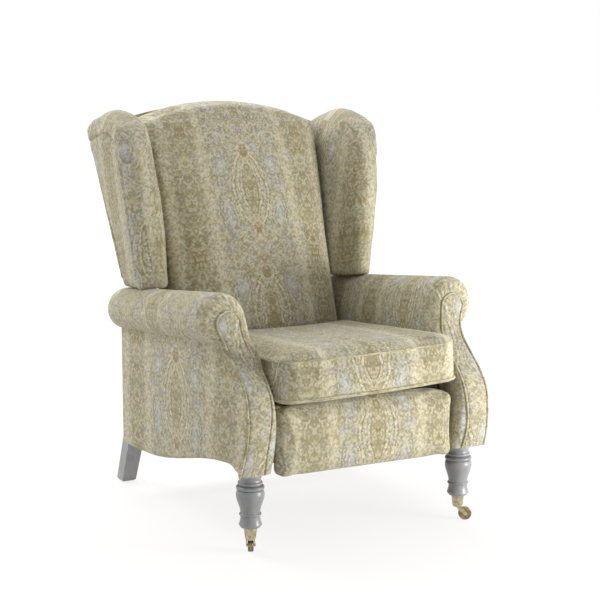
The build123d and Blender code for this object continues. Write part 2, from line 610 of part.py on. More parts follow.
def strap():
    """Hinge strap: turns on the pin, bolted to the upright, with the crank for the drive rod."""
    up = back_slope * Pos(0, timber_y[0] + BACK_TIMBER / 2, BACK_FOOT + 120)
    grip = (up.position.Y, up.position.Z)
    low_grip = (grip[0] - 45, grip[1] - 90)
    shape = bar(HINGE, grip, *strap_x, width=14) + bar(HINGE, crank_pin, *strap_x, width=11)
    shape += bar(low_grip, grip, *strap_x, width=14) + bar(HINGE, low_grip, *strap_x, width=14)
    shape = link_hole(shape, HINGE, PIN_R + RUNNING, strap_x)
    return link_hole(shape, crank_pin, RIVET_R, strap_x)


parts["hinge_straps"] = both(strap())
parts["strap_rivets"] = both(cross_cylinder(*crank_pin, RIVET_R, rod_x[0] - 1, strap_x[1]))


def back_pad():
    """Inside back: deep at the lumbar, crowned across, with an arched and rounded top."""
    # height, half width beyond the arms' inner faces, front at the middle, front at the sides
    levels = [(408, -12, 104, 150), (465, -10, 96, 165), (590, -8, 136, 205), (700, -6, 180, 240),
              (860, 0, 252, 286), (980, 6, 312, 330), (1110, 10, 380, 394)]
    rear = [BACK_REF_Y + (z - BACK_REF_Z) * sin(radians(BACK_RAKE)) / cos(radians(BACK_RAKE)) for z, *_ in levels]
    sections = []
    for (z, beyond, mid_y, side_y), rear_y in zip(levels, rear):
        half = ARM_IN + beyond
        back_y = rear_y - BACK_PANEL_T / cos(radians(BACK_RAKE))
        with BuildSketch(Plane.XY.offset(z)) as section:
            with BuildLine():
                ThreePointArc((-half, side_y), (0, mid_y), (half, side_y))
                Polyline((half, side_y), (half, back_y), (-half, back_y), (-half, side_y))
            make_face()
        sections.append(section.sketch)
    body = loft(sections)
    side = ARM_IN + 38
    with BuildSketch(Plane.XZ) as front_view:
        with BuildLine():
            Polyline((-side, 1020), (-side, 300), (side, 300), (side, 1020))
            ThreePointArc((side, 1020), (0, 1086), (-side, 1020))
        make_face()
    cut = Pos(0, 700, 0) * extrude(front_view.sketch, amount=900, dir=(0, -1, 0))
    frame_room = back_slope * block(-UPRIGHT_OUT - 30, UPRIGHT_OUT + 30, timber_y[0] - SPRING_WIRE - 0.2, 10,
                                    BACK_FOOT - 300, SHOULDER - 60)
    spring_room = back_slope * block(-170, 170, timber_y[0] - SPRING_WIRE - 0.4, timber_y[0],
                                     SHOULDER - 80, SHOULDER - 25)
    return (body & cut) - frame_room - spring_room


def wing_pad():
    """Wing: splayed forwards and outwards, flared towards a rounded ear at the top."""
    # height, crease x, inner front (x, y), outer front (x, y), outer rear x; each x is beyond the arms' inner faces
    levels = [(600, -6, (34, 152), (99, 190), 90), (720, -4, (42, 145), (113, 190), 104),
              (840, 2, (50, 158), (128, 196), 121), (950, 8, (60, 190), (138, 212), 134),
              (1085, 14, (70, 232), (142, 250), 140)]
    sections = []
    for z, crease_x, inner, outer, rear_x in levels:
        crease_x, rear_x = ARM_IN + crease_x, ARM_IN + rear_x
        inner, outer = (ARM_IN + inner[0], inner[1]), (ARM_IN + outer[0], outer[1])
        rear_y = BACK_REF_Y + (z - BACK_REF_Z) * sin(radians(BACK_RAKE)) / cos(radians(BACK_RAKE)) \
            - BACK_PANEL_T / cos(radians(BACK_RAKE))
        crease_y = rear_y - 102 - 60 * (z - 600) / 485
        nose = ((inner[0] + outer[0]) / 2 - 6, (inner[1] + outer[1]) / 2 - 22)
        with BuildSketch(Plane.XY.offset(z)) as section:
            with BuildLine():
                Line((crease_x, crease_y), inner)
                ThreePointArc(inner, nose, outer)
                Polyline(outer, (rear_x, rear_y), (crease_x, rear_y), (crease_x, crease_y))
            make_face()
        sections.append(section.sketch)
    body = loft(sections)
    with BuildSketch(Plane.YZ) as side_view:
        with BuildLine():
            Polyline((600, 925), (600, 560), (60, 601), (60, 860))
            Spline((60, 860), (150, 900), (205, 985), (245, 1026), (290, 1053), (345, 1067), (420, 1047),
                   (480, 1012), (600, 925))
        make_face()
    with BuildSketch(Plane.XZ) as front_view:
        with BuildLine():
            ear = Spline((ARM_IN + 146, 945), (ARM_IN + 144, 985), (ARM_IN + 135, 1022), (ARM_IN + 118, 1048),
                         (ARM_IN + 96, 1066), (ARM_IN + 76, 1063), (ARM_IN + 54, 1043), (ARM_IN + 34, 1014),
                         (ARM_IN + 6, 965))
            Polyline(ear @ 1, (ARM_IN - 60, 965), (ARM_IN - 60, 500), (ARM_IN + 146, 500), ear @ 0)
        make_face()
    dome = Pos(0, 700, 0) * extrude(front_view.sketch, amount=900, dir=(0, -1, 0))
    return body & extrude(side_view.sketch, amount=460) & dome


def wing_frame():
    """Board inside the wing, from the back upright out to the wing's front edge."""
    low, high = 625, 965
    rear_low, rear_high = 312, 425
    tip_low, tip_high = ARM_IN + 76, ARM_IN + 112
    with BuildSketch(Plane.XY.offset(low)) as a:
        with BuildLine():
            Polyline((UPRIGHT_OUT, rear_low), (UPRIGHT_OUT, rear_low + 18), (tip_low, 226), (tip_low, 208), close=True)
        make_face()
    with BuildSketch(Plane.XY.offset(high)) as b:
        with BuildLine():
            Polyline((UPRIGHT_OUT, rear_high), (UPRIGHT_OUT, rear_high + 18), (tip_high, 276), (tip_high, 258),
                     close=True)
        make_face()
    return loft([a.sketch, b.sketch], ruled=True)


inner_wing = wing_frame()
pad = back_pad() - parts["crest_rail"]
wing = wing_pad() - inner_wing - pad - parts["crest_rail"] - parts["back_upright_left"]
parts["back_pad"] = pad.solids().sort_by(SortBy.VOLUME)[-1] - inner_wing - mirrored(inner_wing)
pair("wing_frame", inner_wing)
pair("wing_pad", wing.solids().sort_by(SortBy.VOLUME)[-1])


# ---------------------------------------------------------------- write the pieces
for name, shape in parts.items():
    placed = Pos(0, -DEPTH_CENTRE, 0) * shape
    placed.label = name
    export_step(placed, "parts/" + name + ".step")

box = Compound(children=[Pos(0, -DEPTH_CENTRE, 0) * s for s in parts.values()]).bounding_box()
print("pieces", len(parts), "box", box.min, box.max)
print("foot pivot", foot_pivot, "swing end", swing_end, "guide end", guide_end)
print("crank pin", crank_pin, "horn pin", horn_pin)
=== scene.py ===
import json
from functools import partialmethod
from math import cos, pi, radians, sin, tan

import bpy
import numpy as np
from mathutils import Matrix, Vector


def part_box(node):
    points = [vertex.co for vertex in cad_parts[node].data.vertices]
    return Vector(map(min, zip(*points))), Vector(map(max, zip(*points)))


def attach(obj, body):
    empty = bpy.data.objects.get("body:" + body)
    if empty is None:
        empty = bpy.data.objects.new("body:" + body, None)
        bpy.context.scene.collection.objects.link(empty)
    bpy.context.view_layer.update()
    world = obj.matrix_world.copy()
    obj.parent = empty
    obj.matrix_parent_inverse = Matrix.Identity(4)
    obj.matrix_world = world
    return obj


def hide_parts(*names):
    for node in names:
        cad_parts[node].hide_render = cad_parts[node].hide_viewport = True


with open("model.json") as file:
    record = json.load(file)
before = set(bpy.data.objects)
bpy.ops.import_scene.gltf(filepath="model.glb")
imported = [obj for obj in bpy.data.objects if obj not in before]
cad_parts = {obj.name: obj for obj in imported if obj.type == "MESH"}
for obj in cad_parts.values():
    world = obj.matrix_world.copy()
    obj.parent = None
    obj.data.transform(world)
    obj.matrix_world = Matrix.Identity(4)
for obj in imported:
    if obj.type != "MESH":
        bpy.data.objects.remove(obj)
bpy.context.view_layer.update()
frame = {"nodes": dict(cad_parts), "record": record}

bpy.ops.object.select_all(action="DESELECT")

# ------------------------------------------------------------------ the studio
# A pale studio: a wide floor with the chair's soft shadow on it, five soft lamps in
# front, beside and above, and an even white behind.  Nothing here belongs to the chair.


class Tone:
    """A shader socket used in sums: every operator puts one Math node behind it."""
    tree = None

    def __init__(self, socket):
        self.socket = socket

    def math(self, operation, *others):
        return node("Math", {"operation": operation}, dict(enumerate([self, *others])))

    def __rsub__(self, other):
        return node("Math", {"operation": "SUBTRACT"}, {0: other, 1: self})

    __add__ = __radd__ = partialmethod(math, "ADD")
    __mul__ = __rmul__ = partialmethod(math, "MULTIPLY")
    __sub__ = partialmethod(math, "SUBTRACT")
    __truediv__ = partialmethod(math, "DIVIDE")
    __pow__ = partialmethod(math, "POWER")
    __abs__ = partialmethod(math, "ABSOLUTE")


def node(kind, settings=None, inputs=None, out=0):
    """Adds one node: its settings first, then the values or links of its sockets."""
    made = Tone.tree.nodes.new("ShaderNode" + kind)
    for name, value in (settings or {}).items():
        setattr(made, name, value)
    for name, value in (inputs or {}).items():
        if isinstance(value, Tone):
            Tone.tree.links.new(value.socket, made.inputs[name])
        else:
            made.inputs[name].default_value = value
    return Tone(made.outputs[out] if len(made.outputs) else None)


def paint(red, green, blue):
    """A colour as it is seen, 0 to 255, as the shader wants it."""
    seen = [part / 255 for part in (red, green, blue)]
    return (*(part / 12.92 if part < 0.04045 else ((part + 0.055) / 1.055) ** 2.4 for part in seen), 1.0)


def step(value, start, end, low, high):
    """A smooth step from low at start to high at end."""
    return node("MapRange", {"interpolation_type": "SMOOTHSTEP"}, {
        "Value": value, "From Min": start, "From Max": end, "To Min": low, "To Max": high})


def layered(share, under, over):
    """Colour over colour, by a share from 0 to 1."""
    return node("Mix", {"data_type": "RGBA"}, {0: share, 6: under, 7: over}, 2)


def new_material(name):
    """An empty material, ready for nodes."""
    made = bpy.data.materials.new(name)
    made.use_nodes = True
    made.node_tree.nodes.clear()
    Tone.tree = made.node_tree
    return made


def surface(shader):
    """Ends a material with its shader."""
    node("OutputMaterial", {}, {"Surface": shader})


def seen_ray():
    """1 for a ray from the eye, off a gloss or through glass: these see the pale studio."""
    direct, glossy, through = [node("LightPath", out="Is " + kind + " Ray")
                               for kind in ("Camera", "Glossy", "Transmission")]
    return (direct + glossy + through).math("MINIMUM", 1.0)


bpy.ops.mesh.primitive_plane_add(size=60, location=(0, 0, -0.0006))
studio_floor = bpy.context.object
studio_floor.name = "studio_floor"
studio_floor.data.materials.append(new_material("studio_floor_paint"))
floor_glow = node("Emission", {}, {"Color": (1, 1, 1, 1), "Strength": 1.1})
floor_matt = node("BsdfDiffuse", {}, {"Color": paint(236, 234, 230)})
from_middle = node("VectorMath", {"operation": "LENGTH"}, {0: node("TexCoord", out="Object")}, "Value")
far = step(from_middle, 0.5, 1.5, 0.74, 1.0)
surface(node("MixShader", {}, {0: seen_ray() * far, 1: floor_matt, 2: floor_glow}))

air = bpy.data.worlds.new("studio_air")
bpy.context.scene.world = air
air.use_nodes = True
air.node_tree.nodes.clear()
Tone.tree = air.node_tree
dim_air = node("Background", {}, {"Color": (1, 1, 1, 1), "Strength": 0.50})
white_air = node("Background", {}, {"Color": (1, 1, 1, 1), "Strength": 1.0})
node("OutputWorld", {}, {"Surface": node("MixShader", {}, {0: seen_ray(), 1: dim_air, 2: white_air})})


def soft_lamp(name, place, aim, width, height, power, colour):
    """One large rectangular lamp."""
    lamp = bpy.data.lights.new(name, "AREA")
    lamp.shape, lamp.size, lamp.size_y, lamp.energy, lamp.color = "RECTANGLE", width, height, power, colour
    stand = bpy.data.objects.new(name, lamp)
    bpy.context.scene.collection.objects.link(stand)
    stand.location = place
    stand.rotation_euler = (Vector(aim) - Vector(place)).to_track_quat("-Z", "Y").to_euler()


warm_white, cool_white = (1.0, 0.99, 0.97), (1.0, 1.0, 0.99)
soft_lamp("lamp_low_right", (1.3, -1.6, 0.40), (0.30, -0.4, 0.35), 0.7, 0.6, 28, warm_white)
soft_lamp("lamp_front_right", (2.0, -2.5, 1.0), (0, -0.2, 0.4), 1.4, 1.4, 14, warm_white)
soft_lamp("lamp_left", (-3.6, 0.4, 1.7), (0, 0, 0.6), 2.2, 2.4, 8, cool_white)
soft_lamp("lamp_back_left", (-1.8, 1.8, 2.8), (0, 0, 0.6), 1.6, 1.6, 43, cool_white)
soft_lamp("lamp_back", (0.6, 2.0, 3.0), (0, 0, 0.8), 2.2, 1.4, 58, cool_white)

camera = bpy.data.objects.new("camera", bpy.data.cameras.new("camera"))
bpy.context.scene.collection.objects.link(camera)
bpy.context.scene.camera = camera
camera.data.lens, camera.data.sensor_width = 86.82, 36
camera.location = (-1.8044, -3.4371, 1.1173)
camera.rotation_euler = (Vector((0.027, -0.0272, 0.556)) - camera.location).to_track_quat("-Z", "Y").to_euler()
bpy.context.scene.view_settings.view_transform = "Standard"

# ------------------------------------------------------------------ the cloth
# A woven cotton and viscose cover with a traditional ogee stripe: pointed ovals on a
# centre line, pale drops beside them, fine stripes, and a band of ringed roundels
# between one row of ovals and the next.  The cloth is laid on each piece by a UV map
# named Cloth, in metres: across the stripes, then along them.
HALF_REPEAT = 0.180          # from the line of ovals to the line of roundels
RISE = 0.360                 # from one oval to the next above it


def noise(scale, detail, place=None, out=0, settings=None, **more):
    """A cloudy pattern, fixed to the piece unless another place is given."""
    place = place or node("TexCoord", out="Object")
    return node("TexNoise", settings, {"Vector": place, "Scale": scale, "Detail": detail, **more}, out)


def ramp(value, *stops):
    """A colour for each value, blended between stops: the two ends come first."""
    made = node("ValToRGB", {}, {0: value})
    elements = made.socket.node.color_ramp.elements
    for place, _ in stops[2:]:
        elements.new(place)
    for element, (place, colour) in zip(elements, stops):
        element.position, element.color = place, paint(*colour)
    return made


def two_lots(colour):
    """Two separate values, 0 to 1, from the red and the green of a colour."""
    return [node("SeparateColor", {}, {0: colour}, out) for out in (0, 1)]


def finish(colour, rough, relief, strength, depth, more=None):
    """Ends a material: its colour, roughness and fine relief, and further sockets by name."""
    bump = node("Bump", {}, {"Height": relief, "Strength": strength, "Distance": depth})
    surface(node("BsdfPrincipled", {}, {
        "Base Color": colour, "Roughness": rough, "Normal": bump, **(more or {})}))


def band(value, centre, width, soft=0.0012):
    """1 inside a line of that half width round centre, 0 outside, with a soft edge."""
    return step(abs(value - centre), width, width + soft, 1.0, 0.0)


def below(value, edge, soft=0.002):
    """1 where value is under edge, with a soft edge."""
    return step(value, edge - soft, edge + soft, 1.0, 0.0)


def reach(x, y):
    """Distance from the origin."""
    return (x * x + y * y).math("SQRT")


def cover_cloth(name):
    """The figure, layer on layer: t goes across from the ovals, q up from an oval's middle."""
    made = new_material(name)
    laid = node("UVMap", {"uv_map": "Cloth"})
    across, along = [node("SeparateXYZ", {}, {0: laid}, out) for out in (0, 1)]
    fold = across.math("PINGPONG", HALF_REPEAT)
    spot = node("CombineXYZ", {}, {0: fold, 1: along, 2: 0.0})
    flat = {"noise_dimensions": "2D"}
    wander_1, wander_2 = two_lots(noise(42.0, 2.0, spot, "Color", flat))
    t = fold + (wander_1 - 0.5) * 0.014
    q = (along + (wander_2 - 0.5) * 0.018).math("PINGPONG", RISE / 2)
    worn = node("MapRange", {}, {"Value": noise(170.0, 1.0, spot, 0, flat),
                                      "From Min": 0.38, "From Max": 0.60, "To Min": 0.25, "To Max": 1.0})

    # the ground changes across the stripe
    cloth = ramp(t / HALF_REPEAT, (0.0, (188, 176, 136)), (1.0, (168, 153, 108)), (0.15, (196, 189, 158)),
                 (0.32, (184, 182, 160)), (0.44, (176, 180, 160)), (0.53, (190, 183, 166)),
                 (0.60, (198, 192, 180)), (0.70, (214, 205, 172)), (0.84, (182, 168, 124)))

    def woven(share, *colour):
        """Weaves a colour into the cloth by its share."""
        nonlocal cloth
        cloth = layered(share, cloth, paint(*colour))

    tint_1, tint_2 = two_lots(noise(24.0, 1.0, spot, "Color", flat))
    woven(below(1.0 - tint_1, 0.46, 0.05) * 0.50, 158, 150, 112)
    woven(below(1.0 - tint_2, 0.46, 0.04) * 0.50, 168, 178, 158)
    woven(below(tint_1, 0.44, 0.05) * 0.40, 216, 208, 178)

    # small curled shapes fill the ground, each in a shade of its own
    bend = node("VectorMath", {"operation": "SCALE"}, {
        0: noise(60.0, 1.0, spot, "Color", flat), "Scale": 0.012})
    bent = node("VectorMath", {"operation": "ADD"}, {0: spot, 1: bend})
    cell = {"voronoi_dimensions": "2D"}
    cells = {"Vector": bent, "Scale": 74.0}
    rim = node("TexVoronoi", {**cell, "feature": "DISTANCE_TO_EDGE"}, cells)
    inner = node("TexVoronoi", cell, cells)
    shade_1, shade_2 = two_lots(node("TexVoronoi", cell, cells, "Color"))
    woven(shade_1 * 0.30, 160, 155, 126)
    woven(below(shade_2, 0.28, 0.02) * 0.44, 194, 186, 194)
    woven(below(1.0 - shade_2, 0.24, 0.02) * 0.36, 162, 170, 150)
    woven(band(inner, 0.30, 0.05, 0.10) * 0.34, 118, 110, 84)
    outline = below(rim, 0.05, 0.06)
    woven(outline * worn * 0.34, 228, 221, 196)

    # the band of roundels: three ringed rounds, then a golden bud
    stripe = HALF_REPEAT - t
    from_roundel = reach(stripe, along.math("PINGPONG", 0.0190))
    in_rounds = below(q, 0.080, 0.006)
    woven(in_rounds * below(stripe, 0.030, 0.008) * 0.30, 140, 130, 94)
    for size, width, share, tint in (
            (0.0, 0.0100, 0.50, (130, 120, 84)), (0.0150, 0.0018, 0.55, (200, 192, 158)),
            (0.0200, 0.0012, 0.40, (124, 114, 80)), (0.0050, 0.0012, 0.45, (186, 176, 136))):
        woven(in_rounds * band(from_roundel, size, width) * worn * share, *tint)
    for side in (0.030, 0.046):
        leaf = reach(stripe - side, (q - 0.040) * 0.35)
        woven(below(leaf, 0.0058, 0.002) * 0.40, 134, 124, 88)
        woven(band(leaf, 0.0080, 0.0012) * worn * 0.35, 208, 200, 172)
    bud = reach(stripe, (q - RISE / 2) * 0.42)
    woven(below(bud, 0.0160, 0.004) * 0.62, 150, 130, 84)
    woven(band(bud, 0.0100, 0.0014) * worn * 0.35, 186, 172, 126)
    woven(band(bud, 0.0205, 0.0016) * worn * 0.45, 208, 199, 168)
    woven(band(bud, 0.0250, 0.0014) * worn * 0.35, 124, 116, 86)

    # fine stripes beside the band
    for place, width, tint in ((0.106, 0.0012, (206, 200, 184)), (0.111, 0.0009, (124, 118, 92)),
                               (0.136, 0.0012, (208, 200, 170)), (0.141, 0.0009, (128, 120, 90))):
        woven(band(t, place, width) * worn * 0.40, *tint)

    def oval(top, half):
        """Half width of a pointed oval at each height."""
        return (q * (pi / 2 / top)).math("COSINE").math("MAXIMUM", 0.0) ** 0.72 * half

    # the pointed ovals, one in another, with a brown bud at each end
    for top, half, fill, tint in ((0.120, 0.052, 0.34, (160, 158, 132)), (0.088, 0.027, 0.55, (140, 130, 92))):
        edge = oval(top, half)
        inside = below(q, top, 0.003)
        woven(inside * below(t - edge, 0.0, 0.003) * fill, *tint)
        for shift, width, share, line in (
                (0.0, 0.0022, 0.80, (226, 218, 190)), (0.0055, 0.0016, 0.60, (106, 100, 74)),
                (-0.0055, 0.0016, 0.60, (112, 104, 74)), (-0.0105, 0.0016, 0.45, (206, 198, 168))):
            woven(inside * band(t - edge, shift, width) * worn * share, *line)
    beads = (q * (2 * pi / 0.0105)).math("SINE") * 0.5 + 0.5
    woven(below(q, 0.096, 0.003) * band(t - oval(0.096, 0.0365), 0.0, 0.0022) * beads * 0.75, 226, 220, 200)
    woven(below(reach(t, q * 0.8), 0.0070, 0.002) * 0.60, 124, 96, 56)
    knot = reach(t, (q - 0.116) * 0.72)
    woven(below(knot, 0.0135, 0.002) * 0.60, 148, 122, 76)
    woven(band(knot, 0.0170, 0.0016) * worn * 0.62, 220, 210, 180)

    # pale drops beside the ovals, each in its own outlines
    drop = reach(t - 0.078 + (q - 0.074) * 0.10, (q - 0.074) * 0.43)
    woven(below(drop, 0.0245, 0.002) * 0.40, 166, 162, 148)
    woven(below(drop, 0.0130, 0.003) * 0.55, 196, 200, 204)
    woven(below(drop, 0.0050, 0.002) * 0.45 * worn, 228, 228, 224)
    for size, share, tint in ((0.0095, 0.40, (140, 142, 142)), (0.0165, 0.55, (112, 110, 92)),
                              (0.0205, 0.50, (208, 202, 182)), (0.0250, 0.50, (110, 104, 80))):
        woven(band(drop, size, 0.0013) * worn * share, *tint)

    # crossing lines and a small flower between one oval and the next
    in_cross = below(1.0 - q, 1.0 - 0.134, 0.004) * below(t, 0.086, 0.006)
    for slant in (-0.9, 0.9):
        crossing = (t + (q - RISE / 2) * slant + 0.5).math("PINGPONG", 0.018)
        woven(in_cross * band(crossing, 0.0, 0.0017) * worn * 0.52, 212, 206, 192)
        woven(in_cross * band(crossing, 0.0045, 0.0012) * worn * 0.34, 122, 118, 100)
    flower = reach(t, q - RISE / 2)
    woven(below(flower, 0.0150, 0.004) * 0.45, 180, 174, 182)
    woven(band(flower, 0.0095, 0.0014) * worn * 0.45, 120, 112, 88)

    # broad pale and olive columns show through the whole figure
    for place, width, soft, share, tint in (
            (0.127, 0.006, 0.016, 0.42, (224, 216, 186)), (0.180, 0.024, 0.022, 0.30, (150, 138, 96)),
            (0.080, 0.008, 0.020, 0.22, (190, 190, 182)), (0.0, 0.010, 0.020, 0.20, (180, 160, 108))):
        woven(band(t, place, width, soft) * share, *tint)

    # the figure is woven in little steps of light and dark yarn
    stitch = {"Vector": node("CombineXYZ", {}, {0: fold, 1: along * 0.8, 2: 0.0}), "Scale": 230.0}
    fleck_1, fleck_2 = two_lots(node("TexVoronoi", cell, stitch, "Color"))
    woven(below(fleck_1, 0.30, 0.12) * 0.36, 226, 221, 202)
    woven(below(1.0 - fleck_1, 0.30, 0.12) * 0.38, 104, 99, 78)
    woven(below(fleck_2, 0.16, 0.06) * 0.25, 160, 134, 90)

    # yarns: a slub that runs along, two sets of threads, and soft wear in broad patches
    slub = node("CombineXYZ", {}, {0: across * 1500.0, 1: along * 260.0, 2: 0.0})
    yarn = noise(1.0, 2.0, slub, 0, flat)
    woven(abs(yarn - 0.5) * 0.6, 128, 122, 100)
    woven((noise(9.0, 3.0, laid, 0, flat) * 0.40 - 0.12).math("MAXIMUM", 0.0), 190, 184, 158)
    threads = (across * (2 * pi / 0.0013)).math("SINE") * (along * (2 * pi / 0.0013)).math("SINE")
    relief = threads * 0.25 + yarn * 0.5 + outline * 0.5 + fleck_1 * 0.3
    finish(cloth, 0.78 + yarn * 0.14, relief, 0.35, 0.0006,
           {"Sheen Weight": 0.2, "Sheen Roughness": 0.5, "Specular IOR Level": 0.25})
    return made


cover = cover_cloth("ogee_stripe_cover")
DEPTH_SHIFT = 27.2           # from the zero of the drawing to the middle of the chair's depth


def at(x, y, z):
    """A place on the chair in millimetres, as it is drawn, in the frame's metres."""
    return Vector((x / 1000, (y - DEPTH_SHIFT) / 1000, z / 1000))


def placed(x, y, z):
    """The same for many places at once, as rows."""
    return np.column_stack([x, y - DEPTH_SHIFT, z]) / 1000


def chosen(piece):
    """Only this piece is selected and active."""
    bpy.ops.object.select_all(action="DESELECT")
    piece.select_set(True)
    bpy.context.view_layer.objects.active = piece


def apply_modifier(piece, kind, **settings):
    """Adds one modifier, sets it and applies it."""
    chosen(piece)
    added = piece.modifiers.new(kind.lower(), kind)
    for name, value in settings.items():
        setattr(added, name, value)
    bpy.ops.object.modifier_apply(modifier=added.name)


def read_points(mesh, part="vertices", what="co", width=3):
    """One row of numbers for each point or face of a mesh."""
    values = np.zeros(width * len(getattr(mesh, part)), np.float32)
    getattr(mesh, part).foreach_get(what, values)
    return values.reshape(-1, width).astype(float)


def write_points(mesh, places):
    """Puts every point of a mesh in its place."""
    mesh.vertices.foreach_set("co", np.asarray(places, np.float32).ravel())
    mesh.update()


def smooth_look(piece, degrees=40):
    """Shades it smooth, but for edges sharper than that."""
    chosen(piece)
    bpy.ops.object.shade_smooth_by_angle(angle=radians(degrees))


def at_corners(mesh):
    """The number of the point at each corner of each face."""
    numbers = np.zeros(len(mesh.loops), np.int32)
    mesh.loops.foreach_get("vertex_index", numbers)
    return numbers


def lay_cloth(piece, pattern, material=None):
    """Lays the cloth: pattern turns places and normals into metres across and along."""
    mesh = piece.data
    layer = mesh.uv_layers.get("Cloth") or mesh.uv_layers.new(name="Cloth")
    sides = read_points(mesh, "polygons", "loop_total", 1)[:, 0].astype(int)
    normals = np.repeat(read_points(mesh, "polygons", "normal"), sides, axis=0)
    laid = np.column_stack(pattern(*read_points(mesh)[at_corners(mesh)].T, *normals.T))
    layer.data.foreach_set("uv", laid.astype(np.float32).ravel())
    mesh.materials.clear()
    mesh.materials.append(material or cover)
    smooth_look(piece)


def pad_block(name, cuts, spans, radius, shape):
    """A stuffed form: a finely cut block with round edges, put in place by a formula."""
    bpy.ops.object.select_all(action="DESELECT")
    bpy.ops.mesh.primitive_cube_add(size=1, location=(0, 0, 0))
    piece = bpy.context.object
    piece.name = name
    bpy.ops.object.mode_set(mode="EDIT")
    bpy.ops.mesh.select_all(action="SELECT")
    bpy.ops.mesh.subdivide(number_cuts=cuts)
    bpy.ops.object.mode_set(mode="OBJECT")
    spans = np.array(spans, float)
    point = (read_points(piece.data) + 0.5) * spans
    core = np.clip(point, radius, spans - radius)
    off = point - core
    length = np.linalg.norm(off, axis=1, keepdims=True)
    point = core + off / np.maximum(length, 1e-6) * np.minimum(length, radius)
    x, y, z = shape(*(point / spans).T)
    write_points(piece.data, placed(x, y, z))
    return piece


def stuffed(name, cuts, spans, radius, shape, voxel, ease, pressure, most, held):
    """A block made into even quads with eased edges, then swollen as a cloth under pressure.

    The pressure may move a point by most, in metres; held says which points stay.
    """
    piece = pad_block(name, cuts, spans, radius, shape)
    apply_modifier(piece, "REMESH", mode="VOXEL", voxel_size=voxel, use_smooth_shade=True)
    apply_modifier(piece, "SMOOTH", factor=0.5, iterations=ease)
    before = read_points(piece.data)
    keep = piece.vertex_groups.new(name="held")
    for number in np.nonzero(held(*before.T))[0]:
        keep.add([int(number)], 1.0, "REPLACE")
    stuffing = piece.modifiers.new("stuffing", "CLOTH")
    settings = stuffing.settings
    settings.quality, settings.mass, settings.air_damping = 5, 0.4, 3.0
    settings.tension_stiffness = settings.compression_stiffness = 22
    settings.shear_stiffness, settings.bending_stiffness = 8, 2.5
    settings.use_pressure, settings.uniform_pressure_force = True, pressure
    settings.vertex_group_mass = "held"
    settings.effector_weights.gravity = 0
    last_frame = 20
    stuffing.point_cache.frame_start, stuffing.point_cache.frame_end = 1, last_frame
    for number in range(1, last_frame + 1):
        bpy.context.scene.frame_set(number)
    chosen(piece)
    bpy.ops.object.modifier_apply(modifier="stuffing")
    moved = read_points(piece.data) - before
    length = np.linalg.norm(moved, axis=1, keepdims=True) + 1e-9
    write_points(piece.data, before + moved * np.minimum(1.0, most / length))
    piece.vertex_groups.clear()
    bpy.context.scene.frame_set(1)
    apply_modifier(piece, "SMOOTH", factor=0.5, iterations=2)
    apply_modifier(piece, "SUBSURF", levels=1, render_levels=1)
    return piece


def covered(piece, body, *nodes, fill=0.6):
    """Puts a covered piece on its body in place of its plain solids."""
    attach(piece, body)
    if nodes:
        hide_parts(*nodes)


def between(values, table, column=1):
    """Straight interpolation in a table of rows that start with the place."""
    return np.interp(values, [row[0] for row in table], [row[column] for row in table])


def curve_between(values, table, column=1):
    """Smooth interpolation in a table of rows that start with the place."""
    places = np.array([row[0] for row in table], float)
    heights = np.array([row[column] for row in table], float)
    slopes = np.gradient(heights, places)
    values = np.clip(values, places[0], places[-1])
    k = np.clip(np.searchsorted(places, values) - 1, 0, len(places) - 2)
    h = places[k + 1] - places[k]
    u = (values - places[k]) / h
    return ((2 * u ** 3 - 3 * u ** 2 + 1) * heights[k] + (u ** 3 - 2 * u ** 2 + u) * h * slopes[k]
            + (3 * u ** 2 - 2 * u ** 3) * heights[k + 1] + (u ** 3 - u ** 2) * h * slopes[k + 1])


def eased(value):
    """0 to 1 with a soft start and end."""
    value = np.clip(value, 0.0, 1.0)
    return value * value * (3 - 2 * value)


# ------------------------------------------------------------------ seat cushion
# A box cushion of foam in a sewn cover, with a bowed front and round corners; it lies
# on the platform cloth between the arms, a little lower on one side.  A corded seam
# runs round its lower edge and a finer one along the top of the front.  Its rear
# follows the hollow of the inside back.
cushion_half, cushion_low, cushion_high, cushion_back = 254, 381, 496, 89
cushion_nose, nose_bow, corner_start, corner_drop = -453, 12, 212, 56
cushion_slope, cushion_crown, cushion_tilt, back_hollow = 0.056, 6, 0.030, 52


def cushion_front(x):
    """Front of the cushion, bowed across and drawn back at its corners."""
    corner = np.clip((abs(x) - corner_start) / (cushion_half - corner_start), 0, 1)
    bow = nose_bow * np.minimum(1.0, abs(x) / corner_start) ** 2
    return cushion_nose + bow + corner_drop * (1 - np.sqrt(1 - corner ** 2))


def cushion_shape(a, b, c):
    """a goes across, b from the rear to the front, c up; the cushion slopes down to the rear."""
    x = (2 * a - 1) * cushion_half
    rear = cushion_back + back_hollow * (x / cushion_half) ** 2
    y = rear + (cushion_front(x) - rear) * b
    crown = cushion_crown * (1 - (2 * a - 1) ** 2) * (1 - (2 * b - 1) ** 4)
    top = cushion_high - cushion_slope * (y + 455) + crown
    return x, y, cushion_low + (top - cushion_low) * c + cushion_tilt * x * eased(b * 1.5)


cushion = stuffed("seat_cushion_cover", cuts=44, spans=(508, 542, 116), radius=12, shape=cushion_shape,
                  voxel=0.006, ease=3, pressure=4.0, most=0.008,
                  held=lambda x, y, z: z < 0.392 + cushion_tilt * x)


def cushion_pattern(x, y, z, nx, ny, nz):
    """Front to back over the top, and down the front without a break."""
    front, side = (ny < -0.55) & (abs(nz) < 0.75), abs(nx) > 0.75
    return np.where(side, y, x) + 0.015, np.where(front | side, z - 0.95, y) + 0.10


lay_cloth(cushion, cushion_pattern)
covered(cushion, "base", "seat_cushion", fill=0.8)

